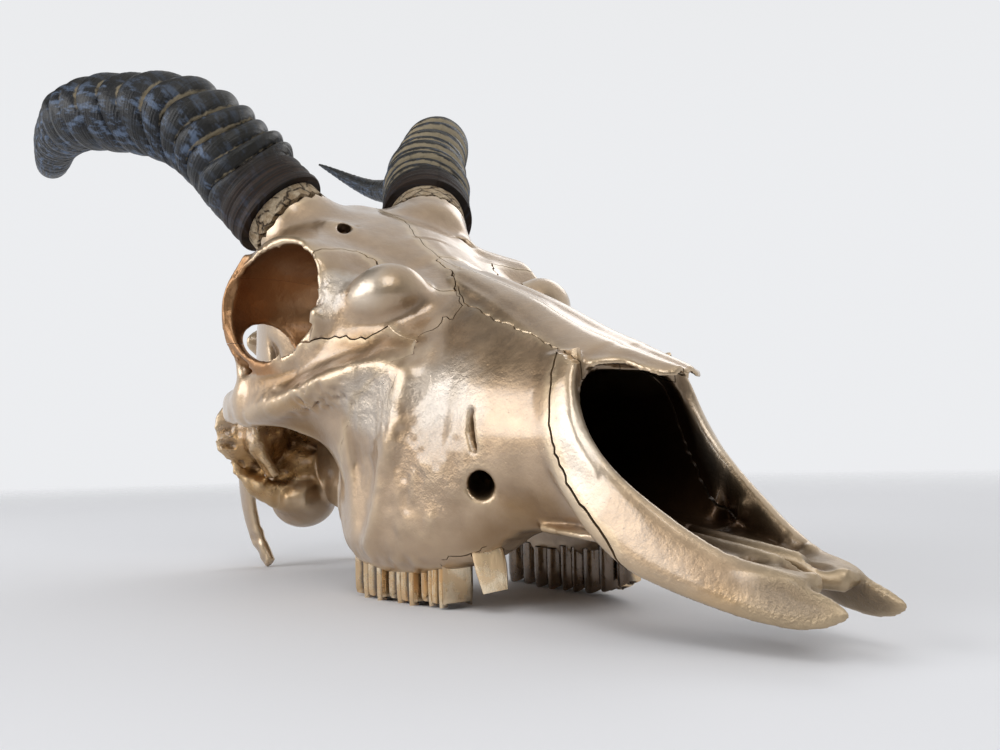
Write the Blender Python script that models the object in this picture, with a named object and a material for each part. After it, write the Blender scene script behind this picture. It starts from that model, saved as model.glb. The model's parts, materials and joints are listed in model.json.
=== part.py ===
"""A life-size gilded blesbok skull without its lower jaw, resting on its cheek teeth and the two
processes behind its ears. Run it with: blender --background --python part.py

Sizes are in millimetres in the skull's own frame: X towards the nose, Y towards the animal's left,
Z up, with X zero behind the last molars and Z zero at the sockets of the teeth. The last step turns
them into metres and stands the skull on its table.
"""

import math

import bmesh
import bpy
import numpy as np
import openvdb
from mathutils import Matrix, Vector

MM = 0.001
SIDES = {"left": 1, "right": -1}
GAP = 0.3

# Driving sizes of the skull as a whole
TOOTH_DROP = 13.3
FOOTPRINT_MIDDLE = (-58.95, 6.15)
BONE_VOXEL = 1.25
BONE_TRIANGLES = 5200
BONE_BOX = ((-142, -74, -22), (184, 74, 164))
AROUND = 56
LENGTHWISE = 60


def profile(*knots):
    """A smooth function through (x, value) knots, level past both ends."""
    xs, values = np.array(knots, float).T
    slopes = np.gradient(values, xs)

    def at(x):
        x = min(max(x, xs[0]), xs[-1])
        i = min(int(np.searchsorted(xs, x, side="right")) - 1, len(xs) - 2)
        h = xs[i + 1] - xs[i]
        t = (x - xs[i]) / h
        rise = values[i + 1] - values[i]
        return (
            values[i]
            + t * t * (3 - 2 * t) * rise
            + h * t * (1 - t) ** 2 * slopes[i]
            - h * t * t * (1 - t) * slopes[i + 1]
        )

    return at


# Side view: heights along the skull
DORSAL = profile((-127, 76), (-119, 92), (-107, 111), (-93, 126), (-78, 134), (-62, 134.5), (-45, 128.5),
                 (-27, 120.5), (-14, 112), (-3, 104.5), (25, 93.5), (52, 83), (85, 67.4), (104, 60), (121, 53.6))
BRAIN_FLOOR = profile((-127, 44), (-115, 36), (-90, 32), (-60, 36), (-30, 40), (0, 46))
PALATE = profile((-12, 10), (50, 10), (77, 14), (91, 16), (112, 14))
SOCKET_EDGE = profile((-12, 6), (-4, 0), (0, -1), (49, -1), (57, 1), (64, 4), (70, 8), (77, 10.5), (91, 13), (105, 11),
                      (116, 6))
SIDE_HEIGHT = profile((-14, 64), (2, 61), (26, 61), (50, 58), (68, 55), (90, 49), (112, 44))
CHEEK_HEIGHT = profile((-14, 36), (26, 28), (68, 26), (90, 28), (112, 25))
BROW_HEIGHT = profile((-14, 97), (-3, 89), (15, 82), (26, 77), (50, 71), (68, 66), (90, 58), (112, 50))

# Plan view: half-widths along the skull
NASAL_HALF = profile((-14, 9), (24, 10.5), (52, 14), (77, 16), (99, 16.5), (112, 13))
BROW_HALF = profile((-14, 48), (-3, 46.5), (15, 36), (26, 29), (50, 22.5), (68, 20.5), (90, 19), (112, 18))
SIDE_HALF = profile((-14, 51), (2, 48), (26, 42), (50, 33), (68, 28.5), (90, 25), (112, 23))
CHEEK_HALF = profile((-14, 38), (2, 38), (15, 40.5), (26, 42.5), (40, 41.5), (50, 39), (68, 33), (90, 27.5),
                     (112, 25))
SOCKET_HALF = profile((-10, 34), (0, 37.5), (25, 36.5), (49, 32.5), (64, 28), (77, 24.5), (91, 22.5), (116, 20.5))
BRAIN_HALF = profile((-127, 19), (-118, 24), (-105, 29.5), (-95, 33.5), (-84, 36.5), (-68, 37), (-55, 33), (-40, 28),
                     (-2, 25))
ROOF_HALF = profile((-64, 46), (-56, 53), (-46, 55.5), (-36, 53), (-24, 48), (-10, 46), (0, 44), (12, 37), (24, 29))
ROOF_DROP = profile((-64, 30), (-56, 28), (-46, 23), (-36, 15.5), (-24, 10), (-10, 11), (0, 13), (12, 15), (24, 17))
ROOF_SINK = profile((-12, 0), (0, 0.5), (12, 2.5), (24, 5))

# The rim of an eye socket, from its front edge over the top, down the back and forward underneath
ORBIT_RIM = ((-2.5, 47.5, 88), (-7, 46.5, 100), (-23, 48.6, 109.3), (-40, 55, 105.5), (-50, 61, 92), (-49, 61, 77),
             (-41, 59.2, 67.5), (-29, 57.2, 65), (-16, 54.3, 70.5), (-8, 51.8, 76.5))
ORBIT_CENTRE = Vector((-27, 46, 87.5))
ORBIT_RADII = Vector((23, 27, 22))
ORBIT_WALL = Vector((2.6, 2.6, 2.6))
ORBIT_MOUTH = Vector((-26.5, 53.8, 88.4))
ORBIT_FACING = Vector((0.27, 0.94, 0.13))

# The horns as they sit in the photograph: the path of each sheath's middle, rim to tip
HORN_PATHS = {
    "right": ((-65, 34.5, 129), (-96, 60, 168), (-143, 88, 182), (-196, 90, 186.5), (-253, 83, 188), (-293, 78, 227)),
    "left": ((-67, 33, 134), (-106, 57, 166.5), (-144, 86, 193), (-194, 105, 190), (-248, 106, 197), (-294, 88, 222)),
}
HORN_RADIUS = 18.9
HORN_RING_SHARE = 0.66
HORN_RINGS = 15
CORE_RADIUS = 17.0
CORE_DEPTH = 6.0
CORE_CUT = 23.0
CORE_BAND = 7.5

# Cheek teeth of one side: name, back edge, front edge, width across, height of the biting edge
TEETH = {
    "molar_3": (0.0, 19.0, 13.5, -13.3),
    "molar_2": (19.4, 35.4, 14.0, -13.3),
    "molar_1": (35.8, 48.8, 12.5, -12.8),
    "premolar_4": (49.2, 58.6, 11.0, -12.2),
    "premolar_3": (59.0, 66.8, 9.5, -10.8),
    "premolar_2": (67.2, 73.0, 7.0, -8.5),
}
RIGHT_TEETH = ("molar_3", "molar_2", "molar_1")

# Where the bones meet: nasal in plan (x, y), premaxilla and cheek bone in side view (x, z), and the
# line in plan where forehead and face meet, which leans back as it goes down
NASAL_SUTURE = ((2, 0), (4.6, 6), (10, 6.5), (18, 7.7), (25, 11), (37.6, 15), (54.4, 16.8), (77, 16.3), (90, 17),
                (99, 17.5), (108, 18.5))
NASAL_FRONT = 126
NASAL_DEPTH = 9.5
PREMAXILLA_SUTURE = ((126, -10), (123, 3), (118.5, 10), (111, 18), (104.5, 24), (98, 33), (96, 39), (93.5, 48),
                     (89, 62), (80, 65.5), (100, 57))
ZYGOMATIC_OUTLINE = ((-8, 72), (4, 73), (16, 71), (23.4, 75.8), (25.2, 76.7), (33.4, 70), (37.8, 64.4), (33.3, 62.5),
                     (14, 50), (2, 36), (-4, 20), (-62, 20), (-62, 76))
ZYGOMATIC_DEPTH = profile((-62, 50), (-30, 45), (0, 40), (35, 32))
FACE_SUTURE = ((2, 0), (4.4, 6), (9.8, 6.5), (18.8, 7.7), (26.5, 11), (29.4, 12.6), (25.3, 16.3), (19.2, 21),
               (16.2, 23), (4, 24.2), (-6.6, 25.5), (-12.7, 29), (-12, 36), (-10.4, 42), (-8, 52), (-14, 90))
FACE_SLANT = 0.15
SLANT_LEVEL = 100
FRONTAL_FLOOR = ((-84, 200), (-82, 128), (-76, 112), (-60, 104), (-30, 92), (-4, 84), (30, 76))
SOCKET_DEPTH = 4.0
BROKEN_TOOTH = (63, 26, 2)
HORN_AROUND = 14
HORN_RING_HEIGHT = 1.3

# Finishes by the start of a node's name: colour, roughness, metallic
GOLD_PAINT = ((0.50, 0.37, 0.24), 0.32, 0.85)
DIRTY_GOLD = ((0.40, 0.27, 0.14), 0.42, 0.75)
BARE_BONE = ((0.60, 0.50, 0.36), 0.9, 0.0)
DARK_HORN = ((0.05, 0.05, 0.055), 0.45, 0.0)
FINISHES = {
    "horn_core": BARE_BONE,
    "horn": DARK_HORN,
    "molar": DIRTY_GOLD,
    "premolar": DIRTY_GOLD,
    "bulla": DIRTY_GOLD,
    "paroccipital": DIRTY_GOLD,
    "braincase": GOLD_PAINT,
    "frontal": GOLD_PAINT,
    "maxilla": GOLD_PAINT,
    "nasal": GOLD_PAINT,
    "premaxilla": GOLD_PAINT,
    "zygomatic": GOLD_PAINT,
}
SHARP_EDGE = math.radians(50)


def smooth_path(points):
    """A function from 0..1 to the point that far along a smooth curve through the points."""
    points = [Vector(p) for p in points]
    reach = np.cumsum([0] + [(b - a).length for a, b in zip(points, points[1:])])
    axes = [profile(*zip(reach, [p[i] for p in points])) for i in range(3)]
    return lambda t: Vector([axis(t * reach[-1]) for axis in axes])


def finish_mesh(name, bm):
    bmesh.ops.remove_doubles(bm, verts=bm.verts, dist=1e-4)
    bmesh.ops.recalc_face_normals(bm, faces=bm.faces)
    if bm.calc_volume(signed=True) < 0:
        bmesh.ops.reverse_faces(bm, faces=bm.faces)
    bmesh.ops.triangulate(bm, faces=bm.faces)
    mesh = bpy.data.meshes.new(name)
    bm.to_mesh(mesh)
    bm.free()
    obj = bpy.data.objects.new(name, mesh)
    bpy.context.scene.collection.objects.link(obj)
    return obj


def loft(name, rings):
    """A closed body through rings of points, each end drawn in to the middle of its ring."""
    ends = [sum(ring, Vector()) / len(ring) for ring in (rings[0], rings[-1])]
    count = len(rings[0])
    rows = [[ends[0]] * count, *rings, [ends[1]] * count]
    bm = bmesh.new()
    bmesh.ops.create_grid(bm, x_segments=count, y_segments=len(rows) - 1, size=1)
    for vert in bm.verts:
        u = round((vert.co.x + 1) / 2 * count)
        v = round((vert.co.y + 1) / 2 * (len(rows) - 1))
        vert.co = rows[v][u % count]
    return finish_mesh(name, bm)


def rod(name, points, widths, depths, side=1, across=(0, 1, 0), steps=24, around=20, squareness=2.4, rounded=0.0):
    """A tapering bar along a smooth path. Its depth lies along across, its width at right angles to that."""
    path = smooth_path(points)
    shares = np.linspace(0, 1, len(widths))
    width = profile(*zip(shares, widths))
    depth = profile(*zip(shares, depths))
    rings = []
    for t in np.linspace(0, 1, steps):
        along = (path(min(t + 0.01, 1)) - path(max(t - 0.01, 0))).normalized()
        thick = Vector(across)
        thick = (thick - along * thick.dot(along)).normalized()
        wide = along.cross(thick)
        ring = []
        close = max((t - 1 + rounded) / rounded, 0) if rounded else 0
        close = math.sqrt(max(1 - close * close, 0.02))
        for angle in np.linspace(0, 2 * math.pi, around, endpoint=False):
            c, s = math.cos(angle), math.sin(angle)
            p = path(t) + wide * (close * width(t) / 2 * abs(c) ** (2 / squareness) * math.copysign(1, c))
            p += thick * (close ** 0.4 * depth(t) / 2 * abs(s) ** (2 / squareness) * math.copysign(1, s))
            ring.append(Vector((p.x, p.y * side, p.z)))
        rings.append(ring)
    return loft(name, rings)


def ball(name, centre, radii, side=1, turn=(0, 0, 0), subdivisions=3):
    """An ellipsoid, turned by three angles in degrees about X, Y and Z."""
    bm = bmesh.new()
    bmesh.ops.create_icosphere(bm, subdivisions=subdivisions, radius=1)
    spin = Matrix.Rotation(math.radians(turn[2]), 4, "Z") @ Matrix.Rotation(math.radians(turn[1]), 4, "Y")
    spin = spin @ Matrix.Rotation(math.radians(turn[0]), 4, "X")
    bm.transform(Matrix.Diagonal((1, side, 1, 1)) @ Matrix.Translation(centre) @ spin
                 @ Matrix.Diagonal((*radii, 1)))
    return finish_mesh(name, bm)


def half_section(points, count):
    """Points evenly along a smooth (y, z) line from the top of a section to its bottom."""
    path = smooth_path([(0, y, z) for y, z in points])
    return [path(t) for t in np.linspace(0, 1, count)]


def mirrored_ring(x, points, count=AROUND):
    half = half_section(points, count // 2 + 1)
    right = [Vector((x, p.y, p.z)) for p in half]
    left = [Vector((x, -p.y, p.z)) for p in reversed(half[1:-1])]
    return right + left


def face_block():
    """The long face: nasals on top, lacrimals and maxillae down its sides, the palate below."""
    rings = []
    for x in np.linspace(-12, 112, LENGTHWISE):
        top = DORSAL(x)
        nasal = NASAL_HALF(x)
        socket = SOCKET_HALF(x)
        edge = SOCKET_EDGE(x)
        rings.append(mirrored_ring(x, (
            (0, top), (nasal * 0.5, top + 0.2), (nasal, top - 4.6), (BROW_HALF(x), BROW_HEIGHT(x)),
            (SIDE_HALF(x), SIDE_HEIGHT(x)), (CHEEK_HALF(x), CHEEK_HEIGHT(x)), (socket, edge + 2),
            (socket - 2.5, edge), (socket - 12, edge + 1), (socket - 16, PALATE(x) - 1), (0, PALATE(x)),
        )))
    return loft("face", rings)


def brain_case():
    """The rounded box behind the eyes, drawn in between them."""
    rings = []
    for x in np.linspace(-127, -2, LENGTHWISE):
        top, floor, half = DORSAL(x) - 1.5, BRAIN_FLOOR(x), BRAIN_HALF(x)
        middle, tall = (top + floor) / 2, (top - floor) / 2
        ring = []
        for angle in np.linspace(0, 2 * math.pi, AROUND, endpoint=False):
            c, s = math.cos(angle), math.sin(angle)
            ring.append(Vector((x, half * abs(s) ** 0.8 * math.copysign(1, s),
                                middle + tall * abs(c) ** 0.8 * math.copysign(1, c))))
        rings.append(ring)
    return loft("brain_case", rings)


def frontal_roof(thickness=6.0):
    """The plate of the forehead, which reaches out over both eyes and sinks into the face in front."""
    rings = []
    for x in np.linspace(-64, 24, 40):
        top, half, drop = DORSAL(x) - ROOF_SINK(x), ROOF_HALF(x), ROOF_DROP(x)
        over = [Vector((x, half * u, top - drop * u * u)) for u in np.linspace(-1, 1, AROUND // 2)]
        under = [Vector((x, p.y * 0.985, p.z - thickness)) for p in reversed(over)]
        rings.append(over + under)
    return loft("frontal_roof", rings)


def orbit_walls(side):
    """The cup round an eye, the bar behind it, the cheek plate under it and the arch."""
    return [
        ball("cup", ORBIT_CENTRE, ORBIT_RADII + ORBIT_WALL, side, (0, 0, 14), subdivisions=4),
        rod("bar", ((-46, 54, 106), (-52, 56.5, 93), (-51.5, 56.5, 80), (-47, 56, 69), (-45.5, 57, 56)),
            (13, 5, 4, 4.5, 9), (6, 8.5, 8.5, 7, 5), side),
        cheek_plate(side),
        rod("arch", ((-44, 57, 52), (-60, 57, 52), (-72, 54, 52.5), (-86, 47, 51.5), (-101, 37, 51)),
            (12, 11, 11, 9, 12), (5.5, 4.4, 4.4, 5.5, 12), side),
    ]


def orbit_hollows(side):
    """What is cut from those: all in front of the rim, the eye's own hollow and the way into the temple."""
    return [
        rod("mouth", (ORBIT_MOUTH, ORBIT_MOUTH + ORBIT_FACING * 40), (53, 70), (52, 70), side, across=(0, 0, 1),
            steps=4, around=40, squareness=2),
        ball("orbit", ORBIT_CENTRE, ORBIT_RADII, side, (0, 0, 14), subdivisions=4),
        rod("temple_way", ((-34, 46, 75), (-50, 47, 74), (-72, 46, 71)), (22, 19, 24), (17, 19, 26), side,
            across=(0, 0, 1), squareness=2.2),
    ]


def orbit_rim(side):
    loop = [*ORBIT_RIM, *ORBIT_RIM[:2]]
    return rod("rim", loop, (2.2,) * 5, (2.2,) * 5, side, steps=80, around=14, squareness=2)


def cheek_plate(side):
    """The cheek bone, from the back of the face under the eye to the arch, with its slanting lower edge."""
    top = profile((-56, 55), (-50, 57), (-43, 62), (-30, 65), (-11, 71), (6, 74))
    low = profile((-56, 47), (-40, 46), (-23, 42), (-8, 32), (1, 16), (6, 5))
    out = profile((-56, 58.5), (-46, 60), (-30, 58), (-11, 52), (6, 46))
    tuck = profile((-56, 1), (-30, 4), (-11, 9), (6, 9))
    rings = []
    for x in np.linspace(-56, 6, 30):
        ring = []
        for angle in np.linspace(0, 2 * math.pi, 28, endpoint=False):
            c, s = math.cos(angle), math.sin(angle)
            share = (c + 1) / 2
            z = low(x) + (top(x) - low(x)) * share
            y = out(x) - tuck(x) * (1 - share) ** 1.5 - 3.2 + 3.2 * abs(s) ** 0.7 * math.copysign(1, s)
            ring.append(Vector((x, y * side, z)))
        rings.append(ring)
    return loft("cheek", rings)


def face_relief(side):
    """The ridge from the cheek bone along the face, and the swelling in front of the eye."""
    return [
        rod("crest", ((-46, 55.5, 50), (-26, 54.8, 51.5), (-9, 50.2, 54.5), (8, 45.5, 58), (24, 38, 60.5), (38, 28, 63)),
            (6, 8, 8, 9, 9, 6), (5, 6, 7, 8, 8, 6), side, steps=36, squareness=2),
        ball("swelling", (9, 31.5, 87), (13, 9, 7), side, (0, 14, -36)),
        ball("tuber", (30, 33, 12), (24, 8, 13), side, (0, 0, -6)),
    ]


def face_hollows(side):
    """The shallow hollows above and below that ridge."""
    return [
        rod("tear_hollow", ((-4, 62, 71), (12, 59, 72), (28, 53.5, 73), (46, 45, 75)), (14, 18, 18, 14), (20, 22, 22, 18),
            side, across=(0, 0, 1), squareness=2),
        rod("muscle_hollow", ((8, 64, 44), (26, 61, 46), (44, 54, 47)), (20, 26, 24), (26, 26, 24), side,
            across=(0, 0, 1), squareness=2),
    ]


def skull_base(side):
    """What hangs below the braincase on one side: ear, process, condyle and wing bones."""
    return [
        ball("glenoid", (-95, 33, 47), (12, 12.5, 7.5), side, (0, 0, 20)),
        rod("flange", ((-90, 46, 53), (-89, 50.5, 49), (-87.5, 51, 42), (-86, 49, 35), (-82, 43, 27)),
            (6, 5, 6, 5, 4), (3, 2.6, 2.4, 2.6, 3), side, across=(1, 0.3, 0)),
        ball("tip_plate", (-61, 55, 54), (5.4, 1.7, 5.4), side, (0, 0, 8)),
        ball("ear_root", (-106, 29, 46), (13, 12, 17), side),
        ball("ear_tube", (-99, 33, 34), (6.5, 10, 6), side, (25, 0, 10)),
        ball("bulla", (-80.5, 20.5, 16.5), (17.5, 11.6, 11.8), side, (0, -4, 8)),
        ball("bulla_root", (-88, 21, 28), (14, 10, 12), side),
        ball("condyle", (-125, 13, 44), (8, 8.5, 13), side, (0, 0, 25)),
        rod("process", ((-114, 28, 42), (-120, 28, 27), (-122, 26.5, 13), (-118, 24.5, 0), (-110, 21.5, -11.8)),
            (22, 16, 12.5, 10, 6), (8, 5.5, 4.4, 4.2, 3.8), side),
        rod("wing", ((0, 15, 22), (-18, 15, 24), (-38, 15, 27), (-60, 15.5, 27), (-70, 16, 30)),
            (26, 30, 30, 28, 16), (4, 4, 5, 8, 8), side),
        ball("temple_root", (-85, 37, 41), (15, 12, 13), side, (0, 0, 15)),
        rod("tuber", ((14, 30, 20), (0, 30, 22), (-9, 27, 30)), (34, 30, 16), (18, 16, 10), side),
    ]


def middle_base():
    return [
        rod("keel", ((-120, 0, 35), (-98, 0, 30), (-75, 0, 30), (-45, 0, 36)), (14, 12, 10, 10), (26, 24, 18, 12)),
        rod("vomer", ((-60, 0, 36), (-20, 0, 32), (30, 0, 18)), (12, 14, 12), (4, 4, 4)),
        ball("nape", (-121, 0, 84), (5, 28, 10)),
    ]


def horn_axis(side_name):
    """Where a horn leaves the skull and in which direction, on the side of positive Y."""
    path = smooth_path(HORN_PATHS[side_name])
    start = path(0)
    return start, (path(0.06) - start).normalized()


def pedicel(side_name):
    """The stump of bone that carries a horn, up to where the sheath hides it."""
    side = SIDES[side_name]
    start, along = horn_axis(side_name)
    core = 2 * CORE_RADIUS
    path = [start - along * back for back in (38, 26, 14, 0, -CORE_DEPTH)]
    return rod("pedicel", path, (8, core - 2, core + 1, core, core - 1), (8, core - 2, core, core - 1, core - 2), side,
               steps=24, around=32, squareness=2)


def premaxilla(side):
    """The strap that frames the nose opening, and the tilted blade at its front."""
    path = ((90, 17.5, 61), (92, 22.5, 50), (98, 24.3, 37), (109, 24.3, 24), (124, 22.2, 12.5), (138, 18.8, 6),
            (152, 15, 1.5), (165, 12.3, -0.8), (175.5, 10, -1.2))
    widths = (15.5, 16, 15.5, 15.5, 16, 17, 16.5, 14, 13, 14, 15, 13)
    depths = (3.6, 4.2, 4.6, 4.8, 5, 5.4, 5.6, 5.6, 5.4, 5, 4.4, 2.6)
    return rod("premaxilla", path, widths, depths, side, across=(0, 1, 0.42), steps=56, around=28, squareness=2.5,
               rounded=0.06)


def palate_front(side):
    """The floor of the nose in front of the teeth, the bar beside the midline and the web to the blade."""
    return [
        rod("shelf", ((86, 11, 12.5), (104, 12, 11.5), (122, 11, 9.5), (134, 9.5, 7.6), (144, 8, 6)),
            (3.6, 3.4, 3.2, 3, 3), (26, 26, 23, 18, 10), side, squareness=3),
        rod("inner_bar", ((100, 4, 13), (125, 3.8, 9.6), (146, 3.8, 6.4), (157, 4.4, 4.4), (163.5, 5.6, 2.6)),
            (5, 5, 5.4, 6, 5), (5.4, 5, 5, 4.6, 3.4), side, squareness=2.2),
        ball("web", (154, 8.6, 3.6), (11, 6.6, 2.6), side, (14, 6, -12)),
    ]


def nasal_bone(side):
    """A long convex splint of the nose's roof."""
    half_width = profile((20, 10), (52, 14), (77, 16), (99, 16.4), (103, 15), (106, 11), (114, 9.2), (119, 6.4),
                         (120.5, 4))
    thickness = profile((20, 4.2), (95, 4.2), (110, 3.2), (120.5, 2))
    rings = []
    for x in np.linspace(20, 120.5, 40):
        top = DORSAL(x)
        half = half_width(x)
        over, under = [], []
        for u in np.linspace(0, 1, 12):
            y = 0.15 + (half - 0.15) * u
            hump = 1.3 * math.sin(math.pi * min(u * 1.25, 1)) - 4.3 * (half / 16) * max(u - 0.2, 0) ** 1.6 / 0.7
            over.append(Vector((x, y * side, top + hump)))
            under.append(Vector((x, y * side, top + hump - thickness(x))))
        rings.append(over + under[::-1])
    return loft("nasal", rings)


def nose_cavity():
    """The hollow of the nose, open at the front."""
    half = profile((12, 8), (25, 16), (50, 20), (90, 20.5), (112, 20.8), (128, 19), (150, 13.5), (170, 5))
    floor = profile((12, 40), (25, 26), (50, 16), (77, 17), (100, 15), (128, 4), (150, -12), (170, -12))
    roof = profile((12, 80), (25, 86), (52, 76), (85, 61), (104, 54), (128, 60), (170, 60))
    rings = []
    for x in np.linspace(12, 170, LENGTHWISE):
        low, high, wide = floor(x), roof(x), half(x)
        ring = []
        for angle in np.linspace(0, 2 * math.pi, AROUND, endpoint=False):
            c, s = math.cos(angle), math.sin(angle)
            narrow = 1 - 0.38 * max(c, 0)
            ring.append(Vector((x, wide * narrow * abs(s) ** 0.75 * math.copysign(1, s),
                                (low + high) / 2 + (high - low) / 2 * abs(c) ** 0.8 * math.copysign(1, c))))
        rings.append(ring)
    return loft("nose_cavity", rings)


def nose_opening():
    """Everything above the sloping edge of the nose opening, in side view."""
    edge = ((97, 61), (99, 50), (102.5, 42), (110, 31), (124, 19.5), (140, 10.5), (158, 5), (186, 2))
    sweep = smooth_path([(x, 0, z) for x, z in edge])
    line = [sweep(t) for t in np.linspace(0, 1, 30)]
    corners = [(p.x, p.z) for p in line] + [(186, 90), (97, 90)]
    rings = [[Vector((x, y, z)) for x, z in corners] for y in (-45, 45)]
    return loft("nose_opening", rings)


def small_holes(side):
    """The openings for nerves over the eye and in the cheek, and the slit above the one in the cheek."""
    return [
        rod("brow_hole", ((-12, 33, 116), (-23, 28.3, 117), (-36, 22, 116)), (5.6, 5.2, 4.6), (5.4, 5.2, 4.6), side,
            squareness=2),
        rod("cheek_hole", ((78, 40, 22), (68, 31, 24.5), (59, 24, 27), (50, 16, 31)), (13, 9, 8, 8), (9, 8, 7, 7), side,
            squareness=2),
        rod("cheek_slit", ((68, 31.5, 34), (66, 32, 40), (65, 31.5, 46)), (1.6, 2.2, 1.6), (9, 9, 8), side, squareness=2),
    ]


def back_hole():
    return rod("back_hole", ((-140, 0, 52), (-100, 0, 54)), (17, 16), (19, 17), squareness=2)


class Bone:
    """Signed distances to the bone's surface on a grid, negative inside it.

    A shape is melted in, or cut out, with an edge that is rounded over the distance given.
    """

    REACH = 9.0

    def __init__(self, voxel):
        self.voxel = voxel
        self.low = np.floor(np.array(BONE_BOX[0]) / voxel).astype(int)
        self.low[1] = -math.ceil(BONE_BOX[1][1] / voxel)
        high = np.ceil(np.array(BONE_BOX[1]) / voxel).astype(int)
        self.values = np.full(high - self.low + 1, self.REACH, np.float32)

    def measured(self, obj, both):
        """The part of the grid near an object with the distances there, and the same mirrored."""
        points = np.array([v.co for v in obj.data.vertices])
        faces = np.array([p.vertices for p in obj.data.polygons])
        bpy.data.objects.remove(obj)
        space = openvdb.createLinearTransform(voxelSize=self.voxel)
        grid = openvdb.FloatGrid.createLevelSetFromPolygons(
            points, triangles=faces, transform=space, halfWidth=self.REACH / self.voxel)
        near = self.REACH + self.voxel
        first = np.maximum(np.floor((points.min(axis=0) - near) / self.voxel).astype(int), self.low)
        last = np.minimum(np.ceil((points.max(axis=0) + near) / self.voxel).astype(int),
                          self.low + self.values.shape)
        distances = np.empty(last - first, np.float32)
        grid.copyToArray(distances, ijk=tuple(int(i) for i in first))
        window = tuple(slice(a, b) for a, b in zip(first - self.low, last - self.low))
        yield window, distances
        if both:
            wide = self.values.shape[1]
            flipped = slice(wide - window[1].stop, wide - window[1].start)
            yield (window[0], flipped, window[2]), distances[:, ::-1]

    def rounding(self, apart, blend, *fields):
        near = np.clip(1 - np.abs(apart) / blend, 0, 1)
        for field in fields:
            near[np.abs(field) > self.REACH * 0.98] = 0
        return near * near * blend / 4

    def add(self, obj, blend=3.0, both=True):
        for window, shape in self.measured(obj, both):
            here = self.values[window]
            edge = self.rounding(here - shape, blend, here, shape)
            self.values[window] = np.maximum(np.minimum(here, shape) - edge, -self.REACH)

    def cut(self, obj, blend=1.5, both=True):
        for window, shape in self.measured(obj, both):
            here = self.values[window]
            edge = self.rounding(here + shape, blend, here, shape)
            self.values[window] = np.minimum(np.maximum(here, -shape) + edge, self.REACH)

    def mesh(self, name):
        grid = openvdb.FloatGrid(self.REACH)
        grid.copyFromArray(self.values, ijk=tuple(int(i) for i in self.low))
        grid.transform = openvdb.createLinearTransform(voxelSize=self.voxel)
        points, quads = grid.convertToQuads(isovalue=0)
        mesh = bpy.data.meshes.new(name)
        mesh.from_pydata(points.tolist(), [], quads.tolist())
        obj = bpy.data.objects.new(name, mesh)
        bpy.context.scene.collection.objects.link(obj)
        return obj


def apply_modifiers(obj):
    graph = bpy.context.evaluated_depsgraph_get()
    mesh = bpy.data.meshes.new_from_object(obj.evaluated_get(graph))
    obj.modifiers.clear()
    obj.data = mesh


def fused_bone(voxel):
    """The skull's bone as one body, with its openings cut."""
    bone = Bone(voxel)
    bone.add(face_block(), both=False)
    bone.cut(nose_cavity(), 1.5, both=False)
    bone.cut(nose_opening(), 1, both=False)
    bone.add(brain_case(), 6, both=False)
    bone.add(frontal_roof(), 7, both=False)
    for part in middle_base():
        bone.add(part, 5, both=False)
    for part in orbit_walls(1):
        bone.add(part, 5)
    for part in face_relief(1):
        bone.add(part, 7)
    for part in face_hollows(1):
        bone.cut(part, 7)
    for part in skull_base(1):
        bone.add(part, 4)
    for side_name in SIDES:
        bone.add(pedicel(side_name), 9, both=False)
    for part in orbit_hollows(1):
        bone.cut(part, 1.5)
    bone.add(orbit_rim(1), 2)
    for part in small_holes(1):
        bone.cut(part, 1)
    bone.cut(back_hole(), 2, both=False)
    bone.add(premaxilla(1), 1.5)
    for part in palate_front(1):
        bone.add(part, 2.5)
    bone.add(nasal_bone(1), 1.5)
    return bone.mesh("bone")


def outline_body(name, outline, low, high, plane="xz", side=1, slant=0.0):
    """A closed body swept from a flat outline in the side view ("xz") or the plan ("xy")."""
    rings = []
    for depth in (low, high):
        ring = []
        for u, v in outline:
            if plane == "xz":
                ring.append(Vector((u, depth * side, v)))
            else:
                ring.append(Vector((u + slant * (depth - SLANT_LEVEL), v * side, depth)))
        rings.append(ring)
    return loft(name, rings)


def grown(outline, by):
    """The outline moved outwards by a distance, with its corners kept sharp."""
    area = sum(a[0] * b[1] - b[0] * a[1] for a, b in zip(outline, outline[1:] + outline[:1]))
    turn = 1 if area > 0 else -1
    moved = []
    for before, here, after in zip(outline[-1:] + outline[:-1], outline, outline[1:] + outline[:1]):
        a = (Vector(here) - Vector(before)).normalized()
        b = (Vector(after) - Vector(here)).normalized()
        normal = Vector((a.y + b.y, -a.x - b.x)) * turn
        normal = normal.normalized() if normal.length > 1e-6 else Vector((a.y, -a.x)) * turn
        reach = by / max(normal.dot(Vector((a.y, -a.x)) * turn), 0.4)
        moved.append(tuple(Vector(here) + normal * reach))
    return moved


def copy_of(obj, name):
    twin = bpy.data.objects.new(name, obj.data.copy())
    bpy.context.scene.collection.objects.link(twin)
    return twin


def boolean(obj, other, operation):
    modifier = obj.modifiers.new(operation, "BOOLEAN")
    modifier.operation = operation
    modifier.object = other
    modifier.solver = "MANIFOLD"
    apply_modifiers(obj)
    bpy.data.objects.remove(other)


def keep_largest(obj):
    """Removes all but the largest closed surface."""
    bm = bmesh.new()
    bm.from_mesh(obj.data)
    seen, shells = set(), []
    for face in bm.faces:
        if face in seen:
            continue
        shell, edge = [], [face]
        seen.add(face)
        while edge:
            here = edge.pop()
            shell.append(here)
            for side in here.edges:
                for next_face in side.link_faces:
                    if next_face not in seen:
                        seen.add(next_face)
                        edge.append(next_face)
        shells.append(shell)
    shells.sort(key=lambda shell: sum(f.calc_area() for f in shell))
    for shell in shells[:-1]:
        bmesh.ops.delete(bm, geom=shell, context="FACES")
    bm.to_mesh(obj.data)
    bm.free()


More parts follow.
